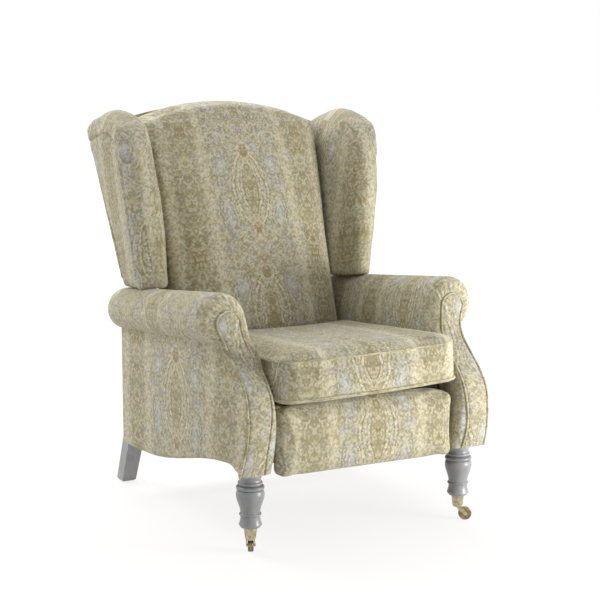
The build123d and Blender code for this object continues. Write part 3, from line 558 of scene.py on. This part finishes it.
# piping is a cord in a bias strip of the same cloth; each run is a thin tube along its seam
piping_cloth = new_material("piping_cloth")
laid = node("UVMap", {"uv_map": "Cloth"})
fleck = node("TexVoronoi", {"voronoi_dimensions": "2D"}, {"Vector": laid, "Scale": 130.0})
shade = noise(40.0, 3.0, laid, 0, {"noise_dimensions": "2D"})
strip = ramp(shade, (0.30, (150, 142, 108)), (0.72, (204, 197, 168)), (0.5, (182, 175, 142)))
strip = layered(below(fleck, 0.22, 0.1) * 0.6, strip, paint(112, 106, 78))
twist = node("TexWave", {"wave_type": "BANDS"}, {"Vector": laid, "Scale": 120.0, "Distortion": 1.0})
finish(strip, 0.80 + shade * 0.1, twist, 0.3, 0.0004, {"Sheen Weight": 0.2})


def piping(name, points, thick, body):
    """One run of piping through points."""
    line = bpy.data.curves.new(name, "CURVE")
    line.dimensions, line.bevel_depth, line.bevel_resolution, line.resolution_u = "3D", thick, 3, 3
    line.use_fill_caps = True
    spline = line.splines.new("NURBS")
    spline.points.add(len(points) - 1)
    for point, place in zip(spline.points, points):
        point.co = (*place, 1)
    spline.order_u, spline.use_endpoint_u = 3, True
    run = bpy.data.objects.new(name, line)
    bpy.context.scene.collection.objects.link(run)
    chosen(run)
    bpy.ops.object.convert(target="MESH")
    run = bpy.context.object
    lay_cloth(run, lambda x, y, z, *normal: ((x + y) * 0.5 + 0.11, z + 0.3 * y), piping_cloth)
    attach(run, body)
    return run


def on_surface(piece, place, out):
    """The nearest point of a piece, lifted by out."""
    _, nearest, normal, _ = piece.closest_point_on_mesh(place)
    return nearest + normal * out


def along_edge(height, out):
    """Places round the sides and front of the cushion, at a height that may change with the depth."""
    front_x = np.sin(np.linspace(-1, 1, 91) * pi / 2) * cushion_half
    edge = [(-cushion_half, y) for y in range(60, -391, -30)] + [(x, float(cushion_front(x))) for x in front_x]
    edge += [(cushion_half, y) for y in range(-390, 61, 30)]
    return [on_surface(cushion, at(x * 1.02, y - (4 if y < -380 else 0), height(y) + cushion_tilt * x), out)
            for x, y in edge]


piping("cushion_lower_piping", along_edge(lambda y: cushion_low + 9, 0.0018), thick=0.0040, body="base")
piping("cushion_upper_piping", along_edge(lambda y: 489 - cushion_slope * (y + 450), 0.0002),
       thick=0.0024, body="base")

# ------------------------------------------------------------------ platform apron
# A strip of the dark felted cloth that also lies under the cushion.  It is tacked to
# the front of the seat rails and hangs a little below them.
platform = new_material("platform_cloth")
felt = noise(700.0, 3.0)
finish(ramp(felt, (0.3, (58, 54, 50)), (0.7, (92, 87, 80))), 0.95, felt, 0.3, 0.0004)


def cut_grid(name, cuts_x, cuts_y):
    """A flat unit square cut into a fine grid."""
    bpy.ops.object.select_all(action="DESELECT")
    bpy.ops.mesh.primitive_grid_add(x_subdivisions=cuts_x, y_subdivisions=cuts_y, size=1, location=(0, 0, 0))
    bpy.context.object.name = name
    return bpy.context.object


rail_low, rail_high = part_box("seat_rails")
apron_drop, apron_thick = 0.052, 0.0008
apron = cut_grid("platform_apron", 40, 8)
flat = read_points(apron.data)
wave = 0.0008 * np.sin(flat[:, 0] * 60) * (0.5 - flat[:, 1])
write_points(apron.data, np.column_stack([
    flat[:, 0] * (rail_high.x - rail_low.x), rail_low.y - 2 * apron_thick - abs(wave),
    rail_low.z - apron_drop + (flat[:, 1] + 0.5) * (rail_high.z - rail_low.z + apron_drop)]))
apply_modifier(apron, "SOLIDIFY", thickness=apron_thick, offset=0)
smooth_look(apron)
apron.data.materials.append(platform)
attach(apron, "base")

# ------------------------------------------------------------------ footrest panel
# The padded panel under the seat front: foam on a board, covered with the stripe
# upright, with full rounded edges; the cover is carried round the board's edges.  It
# swings out on the links and lies flat in use.
footrest_half, footrest_low, footrest_high = 246, 192, 356
board_rear, board_face, footrest_thick, footrest_crown = -351, -368, 66, 13


def footrest_shape(a, b, c):
    """Wraps the board; its top is stuffed up towards the cushion."""
    x = (2 * a - 1) * footrest_half
    crown = footrest_crown * (1 - np.clip((abs(x) - 160) / 80, 0, 1) ** 2) * eased((1 - b) / 0.32)
    y = np.minimum(board_rear - footrest_thick * b, board_face)
    return x, y, footrest_low + (footrest_high - footrest_low + crown) * c


def footrest_pattern(x, y, z, nx, ny, nz):
    """Upright down the front, and carried back over the top and bottom edges."""
    return x - 0.020, z + np.where(abs(nz) > 0.75, (y + 0.445) * np.sign(nz), 0.0) - 0.285


footrest = stuffed("footrest_cover", cuts=40, spans=(492, 66, 164), radius=13, shape=footrest_shape,
                   voxel=0.005, ease=2, pressure=4.0, most=0.005, held=lambda x, y, z: y > -0.4115)
lay_cloth(footrest, footrest_pattern)
covered(footrest, "footrest", "footrest_pad", fill=0.8)

# ------------------------------------------------------------------ inside back
# Foam over springs on the reclining frame, covered in one piece: deep at the lumbar,
# hollow towards the wings, rolled over the arched crest to the panel behind.
back_levels = [  # height, half width, front at the middle, front at the sides
    (408, 249, 104, 150), (465, 251, 97, 165), (590, 253, 137, 205), (700, 255, 181, 240),
    (860, 261, 253, 286), (980, 267, 313, 330), (1110, 271, 381, 394)]
back_low, crest_high, crest_arch = 409, 1086, 66
PANEL_Y, PANEL_Z, PANEL_SLOPE = 347, 590, radians(18.5)   # a place on the outside back, and its slope
CLOTH_SLOPE = radians(20)                                 # mean slope of the inside back


def back_rear(z):
    """Front of the outside back panel at a height."""
    return PANEL_Y + (z - PANEL_Z) * tan(PANEL_SLOPE) - 8.6


def back_shape(a, b, c):
    """a goes across, b from the rear to the front, c up to the arched crest."""
    across = 2 * a - 1
    crest = crest_high - crest_arch * (across * 270 / 300) ** 2
    z = back_low + (crest - back_low) * c
    half, middle, side = [curve_between(z, back_levels, k) for k in (1, 2, 3)]
    front = middle + (side - middle) * across ** 2
    rear = back_rear(z)
    return across * half, rear + (front + 2 - rear) * b, z


inside_back = stuffed("inside_back_cover", cuts=56, spans=(520, 150, 680), radius=20, shape=back_shape,
                      voxel=0.007, ease=4, pressure=3.5, most=0.006,
                      held=lambda x, y, z: y > (back_rear(z * 1000) - DEPTH_SHIFT) / 1000 - 0.020)


def back_pattern(x, y, z, nx, ny, nz):
    """Up the back and over the crest, from the middle."""
    up = z * cos(CLOTH_SLOPE) + y * sin(CLOTH_SLOPE)
    return x, up - 0.866 + np.maximum(0.0, nz - 0.6) * (y - 0.31) * 1.2


lay_cloth(inside_back, back_pattern)
covered(inside_back, "back", "back_pad", fill=0.7)

# ------------------------------------------------------------------ wings
# Each wing is a splayed board wrapped in foam, fixed to the back upright, and its foot
# follows the arm's roll.  The inside cover goes over the front edge and the ear and is
# sewn to a flat outer panel in a drawn-in seam.
wing_levels = [  # height, crease x, inner front x, y, outer front x, y, outer rear x
    (560, 257, 296, 153, 358, 191, 350), (600, 257, 297, 152, 361, 190, 352), (720, 259, 305, 145, 375, 190, 366),
    (840, 265, 313, 158, 389, 196, 383), (950, 271, 323, 190, 399, 212, 396), (1085, 277, 333, 232, 403, 250, 401)]
ear_side = [(60, 860), (150, 900), (205, 985), (245, 1026), (290, 1053), (345, 1067), (420, 1047), (480, 1012),
            (600, 925)]   # y and height of the ear, seen from the side
ear_front = [(200, 965), (268, 965), (296, 1014), (316, 1043), (338, 1063), (358, 1066), (380, 1048), (397, 1022),
             (404, 985), (408, 945)]   # x and height of the ear, seen from the front
CREASE_AT, nose_in, nose_out = 0.35, 6, 19
roll_x, roll_front, roll_rear = 333, -284, 352
roll_high, roll_fall, roll_radius, roll_taper = 570, 56, 63, 6


def roll_at(y):
    """Height and radius of the arm's roll at a place along it."""
    share = (np.maximum(roll_front, y) - roll_front) / (roll_rear - roll_front)
    return roll_high - roll_fall * share, roll_radius - roll_taper * share


def wing_shape(a, b, c):
    """a goes from the inside to the outside, b from the rear to the front edge, c up."""
    z = 600 + 460 * c
    for _ in range(6):   # a place's height and depth hang on each other, so both are found in rounds
        crease, inner_x, inner_y, outer_x, outer_y, rear_x = [between(z, wing_levels, k) for k in range(1, 7)]
        rear = back_rear(z) - 1
        crease_y = rear - 102 - 60 * (z - 600) / 485
        near, far = np.minimum(1.0, b / CREASE_AT), np.clip((b - CREASE_AT) / (1 - CREASE_AT), 0, 1)
        inside_x = crease + (inner_x - crease) * far
        inside_y = rear + (crease_y - rear) * near + (inner_y - crease_y) * far
        outside_x, outside_y = rear_x + (outer_x - rear_x) * b, rear + (outer_y - rear) * b
        nose = 4 * a * (1 - a) * b ** 3
        x = inside_x + (outside_x - inside_x) * a - nose_in * nose
        y = inside_y + (outside_y - inside_y) * a - nose_out * nose
        centre, radius = roll_at(y)
        gap = 0.8 + 2.2 * eased((y - 230) / 100)
        low = centre + np.sqrt((radius + gap) ** 2 - np.clip(x - roll_x, 0, 30) ** 2)
        top = np.minimum(curve_between(y, ear_side), curve_between(x, ear_front)) - 1
        z = low + (top - low) * c
    return x, y, z


wing = stuffed("wing_cover_left", cuts=56, spans=(110, 250, 440), radius=9, shape=wing_shape,
               voxel=0.005, ease=3, pressure=3.0, most=0.004, held=lambda x, y, z: x < 0.285)

# the seam is drawn in by 5 mm, and the rolled cover beyond it stands a little proud
seam_side = np.array([  # y and height: up the front edge, then slanting back under the ear
    (204, 555), (205, 720), (211, 840), (224, 920), (240, 965), (270, 992), (330, 1000), (400, 990),
    (470, 968), (530, 945)], float)
SEAM_DEEP, SEAM_WIDE, PROUD = 0.0050, 9, 0.0016
points = read_points(wing.data)
here = np.column_stack([points[:, 1] * 1000 + DEPTH_SHIFT, points[:, 2] * 1000])
away = np.full(len(here), 1e3)
for start, end in zip(seam_side, seam_side[1:]):
    along = np.clip(((here - start) @ (end - start)) / ((end - start) @ (end - start)), 0, 1)
    away = np.minimum(away, np.linalg.norm(here - start - along[:, None] * (end - start), axis=1))
outward = read_points(wing.data, "vertices", "normal")[:, 0] > 0.3
points[:, 0] -= np.where(outward, SEAM_DEEP * np.clip(1 - away / SEAM_WIDE, 0, 1) ** 1.5, 0.0)
above = outward & (here[:, 1] > np.interp(here[:, 0], seam_side[4:, 0], seam_side[4:, 1])) & (here[:, 0] > 240)
beyond = above | (outward & (here[:, 0] < 206))
points[:, 0] += np.where(beyond, PROUD * np.clip(away / 6, 0, 1), 0.0)
write_points(wing.data, points)


def wing_pattern(x, y, z, nx, ny, nz):
    """Upright on the outside and the inside, carried round the front edge and over the ear."""
    over = (abs(nz) > 0.6) & (y > 0.20)
    outer, nose = (nx > 0.6) | over, (abs(nx) <= 0.6) & (ny < -0.3)
    round_it = np.where(outer, 0.39 + (y - 0.19), np.where(nose, 0.39 + (0.385 - x), 0.46 + (y - 0.14) * 1.05))
    return round_it + 0.06, z + 0.25 * y + np.where(over, 0.40 - x, 0.0)


def left_and_right(piece, name, body, *nodes, fill=0.6):
    """Finishes a left piece and makes its mirror image for the right."""
    other = piece.copy()
    other.data = piece.data.copy()
    other.name = name + "_right"
    bpy.context.scene.collection.objects.link(other)
    other.data.transform(Matrix.Scale(-1, 4, (1, 0, 0)))
    other.data.flip_normals()
    for made, side in ((piece, "_left"), (other, "_right")):
        covered(made, body, *[solid + side for solid in nodes], fill=fill)


lay_cloth(wing, wing_pattern)
left_and_right(wing, "wing_cover", "back", "wing_pad", fill=0.7)

# ------------------------------------------------------------------ arms
# The arm roll and the inside arm are one cover over padding on the arm rail.  At the
# front the cover is gathered in fine pleats round the oval head of the facing, whose
# S-shaped outline both pieces share.
front_curve = [(205, -406), (235, -418), (275, -429), (320, -434), (352, -432), (384, -421), (414, -400),
               (445, -368), (474, -335), (506, -309), (540, -297), (592, -293), (640, -291)]   # height, y
outer_edge = [(205, 352), (235, 350), (285, 345), (330, 342), (370, 340), (405, 336), (440, 334), (468, 334.5),
              (500, 339), (530, 347), (556, 357)]   # height, x of the facing's outer edge
inner_edge = [(205, 284), (240, 286), (290, 284), (330, 279), (370, 274), (405, 271), (440, 270), (470, 274),
              (500, 281), (532, 290), (556, 292)]   # height, x of its inner edge
head_x, head_z, head_rx, head_rz = 324.5, 556, 32.5, 34   # the oval that the facing ends in


def front_line(z):
    """The S-shaped front of the arm: its y at a height."""
    return curve_between(z, front_curve)


def facing_side(z, outer):
    """Edge of the facing at a height, inner or outer."""
    return curve_between(z, outer_edge if outer else inner_edge)


def cover_sheet(name, cuts_s, cuts_t, place, outward, thick):
    """A cover put in place by a formula, turned to face outward, with its thickness behind."""
    piece = cut_grid(name, cuts_s, cuts_t)
    mesh = piece.data
    flat = read_points(mesh) + 0.5
    spots, cloth = place(flat[:, 0], flat[:, 1])
    write_points(mesh, placed(*spots))
    laid = np.column_stack(cloth)[at_corners(mesh)]
    mesh.uv_layers.new(name="Cloth").data.foreach_set("uv", laid.astype(np.float32).ravel())
    if (read_points(mesh, "polygons", "normal") @ np.array(outward, float)).sum() < 0:
        mesh.flip_normals()
    mesh.materials.append(cover)
    apply_modifier(piece, "SOLIDIFY", thickness=thick, offset=-1)
    smooth_look(piece, 60)
    return piece


SEAT_END, LIFT_END = 0.34, 0.46     # shares of the section: flat inner face, then the bend up to the roll
LIP = 0.24                          # share of the length that is the front lip
FACE_X, FACE_LOW, FACE_HIGH, FACE_REAR = 261.6, 204, 525, 310
ROLL_FROM, ROLL_TURN = 163, 243     # degrees: where the cover meets the roll, and how far it goes round
BEND_UNDER, BEND_IN, BEND_OUT = 45, 60, (17.4, 57.4)   # the bend's start under the roll's middle, its directions
FACE_CLOTH, BEND_CLOTH, ROLL_CLOTH = 0.312, 0.064, 0.262   # metres of cloth round the section
COVER_STANDS, RIM_STANDS, RIM_BEHIND = 0.8, 1.5, 5


def arm_rim(s, u, turn, flat_z):
    """The front end of each line of the cover, on the outline of the facing."""
    on_flat, on_bend = s < SEAT_END, (s >= SEAT_END) & (s < LIFT_END)
    head = np.radians(np.maximum(0, turn) * 180 / ROLL_FROM)
    z = np.where(on_flat, flat_z, np.where(on_bend, FACE_HIGH + (head_z - FACE_HIGH) * u, np.where(
        turn > 0, head_z + (head_rz + RIM_STANDS) * np.sin(head), head_z + turn * 0.62)))
    x = np.where(on_flat | on_bend, facing_side(z, False) - RIM_STANDS, np.where(
        turn > 0, head_x + (head_rx + RIM_STANDS) * np.cos(head), facing_side(z, True) + RIM_STANDS))
    return x, front_line(z) + RIM_BEHIND, z


def arm_place(s, t):
    """s goes round the section from the seat up and over the roll; t from the facing to the rear."""
    on_flat, on_bend = s < SEAT_END, (s >= SEAT_END) & (s < LIFT_END)
    up_flat = np.minimum(s, SEAT_END) / SEAT_END
    u = np.clip((s - SEAT_END) / (LIFT_END - SEAT_END), 0, 1)
    over = np.clip((s - LIFT_END) / (1 - LIFT_END), 0, 1)
    turn = ROLL_FROM - ROLL_TURN * over
    flat_z = FACE_LOW + (FACE_HIGH - FACE_LOW) * up_flat
    rim_x, rim_y, rim_z = arm_rim(s, u, turn, flat_z)
    reach_back = 15 + 22 * np.clip((rim_z - 480) / 60, 0, 1)
    start = rim_y + reach_back
    y = start + (roll_rear - start) * np.clip((t - LIP) / (1 - LIP), 0, 1)

    # behind the lip: a flat face, a smooth bend up to the roll, then round the roll
    centre, radius = roll_at(y)
    radius = radius + COVER_STANDS
    arc = np.radians(turn)
    end_x = roll_x + radius * cos(radians(ROLL_FROM))
    end_z = centre + radius * sin(radians(ROLL_FROM))
    seat_z = flat_z + (FACE_REAR - FACE_LOW) * (1 - up_flat) * eased((y + 345) / 20) \
        + (centre - BEND_UNDER - FACE_HIGH) * up_flat
    leave, arrive = 2 * u ** 3 - 3 * u * u + 1, 3 * u * u - 2 * u ** 3
    leave_way, arrive_way = u ** 3 - 2 * u * u + u, u ** 3 - u * u
    bend_x = leave * FACE_X + arrive * end_x + arrive_way * BEND_OUT[0]
    bend_z = leave * (centre - BEND_UNDER) + leave_way * BEND_IN + arrive * end_z + arrive_way * BEND_OUT[1]
    x = np.where(on_flat, FACE_X, np.where(on_bend, bend_x, roll_x + radius * np.cos(arc)))
    z = np.where(on_flat, seat_z, np.where(on_bend, bend_z, centre + radius * np.sin(arc)))

    # the lip turns from the section to the facing in a quarter round
    on_lip = t < LIP
    bend = np.clip(t / LIP, 0, 1) * pi / 2
    x = np.where(on_lip, rim_x + (x - rim_x) * np.sin(bend), x)
    z = np.where(on_lip, rim_z + (z - rim_z) * np.sin(bend), z)
    y = np.where(on_lip, rim_y + reach_back * (1 - np.cos(bend)), y)

    # fine pleats on the roll, deepest on the lip and gone 70 mm behind it
    gather = np.abs(np.sin(arc * 10.5 + 0.35 * np.sin(turn * 0.21)))
    pleat = np.where(s > LIFT_END, (1 - gather) ** 1.4, 0.0) * np.clip((s - LIFT_END) / 0.03, 0, 1)
    behind = 1.4 * np.clip(1 - (y - start) / 70, 0, 1) ** 2
    deep = np.where(on_lip, np.sin(np.minimum(pi, bend * 1.9 + 0.15)) * 4.0, behind) * pleat
    off_x, off_z = x - roll_x, z - centre
    size = np.maximum(1.0, np.hypot(off_x, off_z))
    x, y, z = x - off_x / size * deep * 0.6, y + deep * 0.4, z - off_z / size * deep * 0.6

    round_it = np.where(on_flat, FACE_CLOTH * s / SEAT_END, np.where(
        on_bend, FACE_CLOTH + BEND_CLOTH * u, FACE_CLOTH + BEND_CLOTH + ROLL_CLOTH * over))
    laid_y = np.where(on_lip, start - (1 - t / LIP) * (reach_back + 10), y)
    return (x, y, z), ((laid_y + 868) / 1000, round_it)


arm = cover_sheet("arm_cover_left", 150, 130, arm_place, outward=(0, 0, 1), thick=0.005)
left_and_right(arm, "arm_cover", "base", "arm_pad", fill=0.7)

# ------------------------------------------------------------------ arm facings
# A band of the cover over thin padding down the front of each arm, oval at its head,
# with a cord sewn in both edges and over the top.
facing_low, NECK = 205, 0.85   # the foot of the facing; the share of its length below the head
up_z = np.linspace(200, 640, 500)
up_length = np.concatenate([[0], np.cumsum(np.hypot(np.diff(up_z), np.diff(front_line(up_z))))])


def facing_place(s, t):
    """s goes across from the inner edge to the outer, t from the foot to the head."""
    up_head = np.sin(pi / 2 * np.clip((t - NECK) / (1 - NECK), 0, 1))
    z = np.where(t < NECK, facing_low + (head_z - facing_low) * t / NECK, head_z + head_rz * up_head)
    across = 2 * s - 1
    inner, outer = facing_side(z, False), facing_side(z, True)
    middle, half = (inner + outer) / 2, (outer - inner) / 2
    half = half * np.maximum(0.02, np.sqrt(np.clip(1 - (np.maximum(0, z - head_z) / head_rz) ** 2, 0, 1)))
    edge = np.clip((1 - abs(across)) * half / 9, 0, 1)
    head = np.clip((head_z + head_rz - 0.5 - z) / 8, 0, 1)
    crown = 5.5 * (edge * (2 - edge)) * (head * (2 - head)) + 2.5 * (1 - across ** 2)
    up = np.interp(z, up_z, up_length) / 1000
    return (middle + across * half, front_line(z) + 7 - crown, z), (across * half / 1000 + 0.053, up - 0.33)


facing = cover_sheet("facing_cover_left", 28, 110, facing_place, outward=(0, -1, 0), thick=0.006)
left_and_right(facing, "facing_cover", "base", "arm_facing", fill=0.5)

edge_z = [206 + 350 * k / 26 for k in range(26)]
facing_edge = [(float(facing_side(z, False)), z) for z in edge_z]
facing_edge += [(head_x + head_rx * cos(pi - pi * k / 24), head_z + head_rz * sin(pi * k / 24)) for k in range(25)]
facing_edge += [(float(facing_side(z, True)), z) for z in reversed(edge_z)]
for side, sign in (("left", 1), ("right", -1)):
    cord = [at(sign * x, float(front_line(z)) + 3.5, z) for x, z in facing_edge]
    piping("facing_piping_" + side, cord, thick=0.0032, body="base")
# ------------------------------------------------------------------ side panels
# The outside arm: cover over thin padding on the arm frame, tacked under the roll and
# turned in along a serpentine lower edge between the legs.  It is flat at the rear and
# drawn in towards the narrow neck of the facing.
side_low = [(-460, 209), (-400, 209), (-345, 224), (-284, 221), (-193, 207), (-100, 186), (-11, 166), (114, 145),
            (224, 137), (352, 132)]   # y and height of the lower edge
SIDE_X, SIDE_REAR, FLAT_FROM = 357, 351, -120   # the flat part's x, its rear end, and where it starts
SIDE_STRETCH = 1.5                              # how much wider the stripe is laid here


def side_place(s, t):
    """s goes from the facing to the rear, t from the lower edge up to the roll."""
    y = -400 + 751 * s
    for _ in range(6):   # the facing's line depends on the height, which depends on the depth
        centre, radius = roll_at(y)
        high = centre - np.sqrt(radius ** 2 - 15 ** 2) + 3
        low = curve_between(y, side_low)
        z = low + (high - low) * t
        front = front_line(z)
        y = front + 8 + (SIDE_REAR - 8 - front) * s
    neck = facing_side(np.minimum(z, head_z), True)
    x = neck + (SIDE_X - neck) * eased((y - front) / (FLAT_FROM - front))
    edge = np.clip(np.minimum(np.minimum(45 * s, 30 * (1 - s)), (z - low) / 8), 0, 1)
    x = x - 5 + 5 * (edge * (2 - edge)) + 3.0 * np.sqrt(16 * s * (1 - s) * t * (1 - t))
    return (x, y, z), ((y + 46) / 1000 / SIDE_STRETCH, (z - 330) / 1000)


side_panel = cover_sheet("side_cover_left", 110, 70, side_place, outward=(1, 0, 0), thick=0.0055)
left_and_right(side_panel, "side_cover", "base", "side_panel", fill=0.4)

# ------------------------------------------------------------------ outside back and rear panels
# The back of the chair: a covered panel on the reclining frame, arched at the top, and
# below it fixed panels between the rear legs and behind the arms.  All are cover over
# thin padding, tacked on and turned in at their edges.
LOW_SHARE = 0.35               # the share of the outside back below the arms
panel_low, panel_low_half, shoulder = -249, 245, 400


def turned_in(reach_in):
    """0 at an edge, 1 inside it, in a quarter round, for a distance that is 1 where the round ends."""
    share = np.clip(reach_in, 0, 1)
    return share * (2 - share)


def outside_back_place(s, t):
    """s goes across, t up the slope; the foot is narrow, to pass between the arms."""
    across = 2 * s - 1
    low = t < LOW_SHARE
    share = np.clip((t - LOW_SHARE) / (1 - LOW_SHARE), 0, 1)
    up = np.where(low, panel_low - (panel_low + 1) * t / LOW_SHARE, 441 * share)
    wide = np.where(up < shoulder, 352 + up / 10, 392 - (up - shoulder) / 2) - 2
    half = np.where(low, panel_low_half, wide)
    crest = 70 * (1 - (across * half / 372) ** 2)
    up = up + np.where(low, 0, np.maximum(0.0, crest) * share ** 3)
    crown = -4 + 4.0 * turned_in(np.minimum((1 - abs(across)) * half / 10, (1 - t) * 60)) \
        + 2.0 * (1 - across ** 2) * np.sin(pi * t)
    out = np.minimum(0.6, crown)
    y = PANEL_Y + up * sin(PANEL_SLOPE) + out * cos(PANEL_SLOPE)
    z = PANEL_Z + up * cos(PANEL_SLOPE) - out * sin(PANEL_SLOPE)
    return (across * half, y, z), (across * half / 1000, up / 1000 - 0.25)


outside_back = cover_sheet("outside_back_cover", 60, 80, outside_back_place, outward=(0, 1, 0), thick=0.006)
covered(outside_back, "back", "outside_back", fill=0.3)

rear_low, rear_step, rear_high, rear_y = 150, 304, 388, 346.5


def rear_panel_place(s, t):
    """s goes across, t up; above the rail the panel is narrower, between the arms."""
    across = 2 * s - 1
    below_step = t < 0.62
    z = np.where(below_step, rear_low + (rear_step - rear_low) * t / 0.62,
                 rear_step + (rear_high - rear_step) * (t - 0.62) / 0.38)
    half = np.where(below_step, 293, 260)
    y = rear_y + 5 * turned_in(np.minimum(np.minimum((1 - abs(across)) * half / 10, t * 20), (1 - t) * 20))
    return (across * half, y, z), (across * half / 1000, z / 1000)


rear_panel = cover_sheet("rear_panel_cover", 40, 30, rear_panel_place, outward=(0, 1, 0), thick=0.0015)
covered(rear_panel, "base", fill=0.3)


def arm_back_place(s, t):
    """Closes the rear of one arm, up over the round end of the roll."""
    centre, radius = roll_at(roll_rear)
    foot = 306
    z = foot + (centre + radius - foot) * (1 - (1 - t) ** 1.7)
    half = np.sqrt(np.maximum(0, radius ** 2 - (z - centre) ** 2))
    lifted = 16.1 * eased((z - centre + BEND_UNDER) / 62)
    inner = np.where(z < centre + 17, FACE_X + lifted, roll_x - half)
    outer = np.where(z < centre - 52, 352.5, roll_x + half)
    x = inner + (outer - inner) * s
    y = rear_y + 5 * turned_in(np.minimum(np.minimum(x - inner, outer - x) / 9, np.minimum(t, 1 - t) * 25))
    return (x, y, z), (x / 1000, z / 1000)


arm_back = cover_sheet("arm_back_cover_left", 24, 60, arm_back_place, outward=(0, 1, 0), thick=0.0015)
left_and_right(arm_back, "arm_back_cover", "base", fill=0.3)
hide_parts("rear_panels")

# ------------------------------------------------------------------ legs
# Turned front legs and square raked rear legs of beech, in a grey satin paint that is
# a little thin on the edges of the turnings.
grey_paint = new_material("grey_satin_paint")
brushed = node("Mapping", {}, {"Vector": node("TexCoord", out="Object"), "Scale": (1.0, 1.0, 0.25)})
streak = noise(90.0, 4.0, brushed)
edge_wear = node("MapRange", {}, {"Value": node("NewGeometry", out="Pointiness"), "From Min": 0.52,
                                       "From Max": 0.60})
coat = ramp(streak * 0.6 + noise(16.0, 2.0) * 0.4, (0.2, (124, 125, 127)), (0.8, (152, 153, 155)))
coat = layered(edge_wear * 0.35, coat, paint(186, 186, 184))
finish(coat, 0.30 + streak * 0.18, streak, 0.12, 0.0004, {"Coat Weight": 0.25, "Coat Roughness": 0.25})

# ------------------------------------------------------------------ castors
# Brass cups on the front legs with swivelling horns; the wheels are brass too,
# in a darker and duller brass.


def brass(name, bright, dark, rough):
    """Handled brass, hazed in patches, with the finest rubbing."""
    made = new_material(name)
    haze = noise(120.0, 5.0)
    tone = ramp(haze, (0.35, dark), (0.65, bright))
    finish(tone, rough + haze * 0.2, noise(900.0, 2.0), 0.08, 0.0002, {"Metallic": 1.0})
    return made


aged_brass = brass("aged_brass", (198, 187, 160), (150, 136, 104), 0.24)
dark_brass = brass("dark_brass", (156, 140, 106), (100, 88, 62), 0.34)


# ------------------------------------------------------------------ frame timber and steel
# What the covers hide: planed beech rails and posts, black coated pressed steel for
# the mechanism, and zinc plated pins, bolts and springs.


def timber(name, grain):
    """Beech with its grain along one axis."""
    made = new_material(name)
    stretch = [60.0, 60.0, 60.0]
    stretch[grain] = 4.0
    where = node("Mapping", {}, {"Vector": node("TexCoord", out="Object"), "Scale": tuple(stretch)})
    fibre = noise(1.0, 6.0, where, Distortion=0.6)
    tone = ramp(fibre, (0.3, (186, 148, 104)), (0.7, (216, 182, 138)))
    tone = layered((noise(5.0, 2.0, where) * 1.6 - 0.9).math("MAXIMUM", 0.0), tone, paint(150, 110, 70))
    finish(tone, 0.55 + fibre * 0.2, fibre, 0.2, 0.0004)
    return made


def steel(name, low, high, metallic, rough, grain):
    """Sheet or wire with a fine grain and broad faint patches."""
    made = new_material(name)
    fine, broad = noise(grain, 3.0), noise(14.0, 3.0)
    tone = ramp(fine * 0.5 + broad * 0.5, (0.3, low), (0.7, high))
    finish(tone, rough + broad * 0.2, fine, 0.15, 0.0003, {"Metallic": metallic})
    return made


finish_of = {
    "painted_wood": grey_paint, "brass": aged_brass, "castor_wheel": dark_brass, "deck_cloth": platform,
    "black_steel": steel("black_coated_steel", (26, 26, 28), (44, 44, 46), 0.0, 0.42, 900.0),
    "bright_steel": steel("zinc_plate", (150, 152, 156), (192, 194, 198), 1.0, 0.28, 300.0)}
beech = [timber("beech_grain_" + "xyz"[axis], axis) for axis in range(3)]
for part in frame["record"]["subparts"]:
    name, kind = part["node"], part["material_slot"]
    solid = frame["nodes"][name]
    if kind == "upholstery_fabric":
        continue
    if kind == "frame_timber":
        low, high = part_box(name)
        spans = list(high - low)
        finish = beech[spans.index(max(spans))]
    else:
        finish = finish_of[kind]
    solid.data.materials.clear()
    solid.data.materials.append(finish)
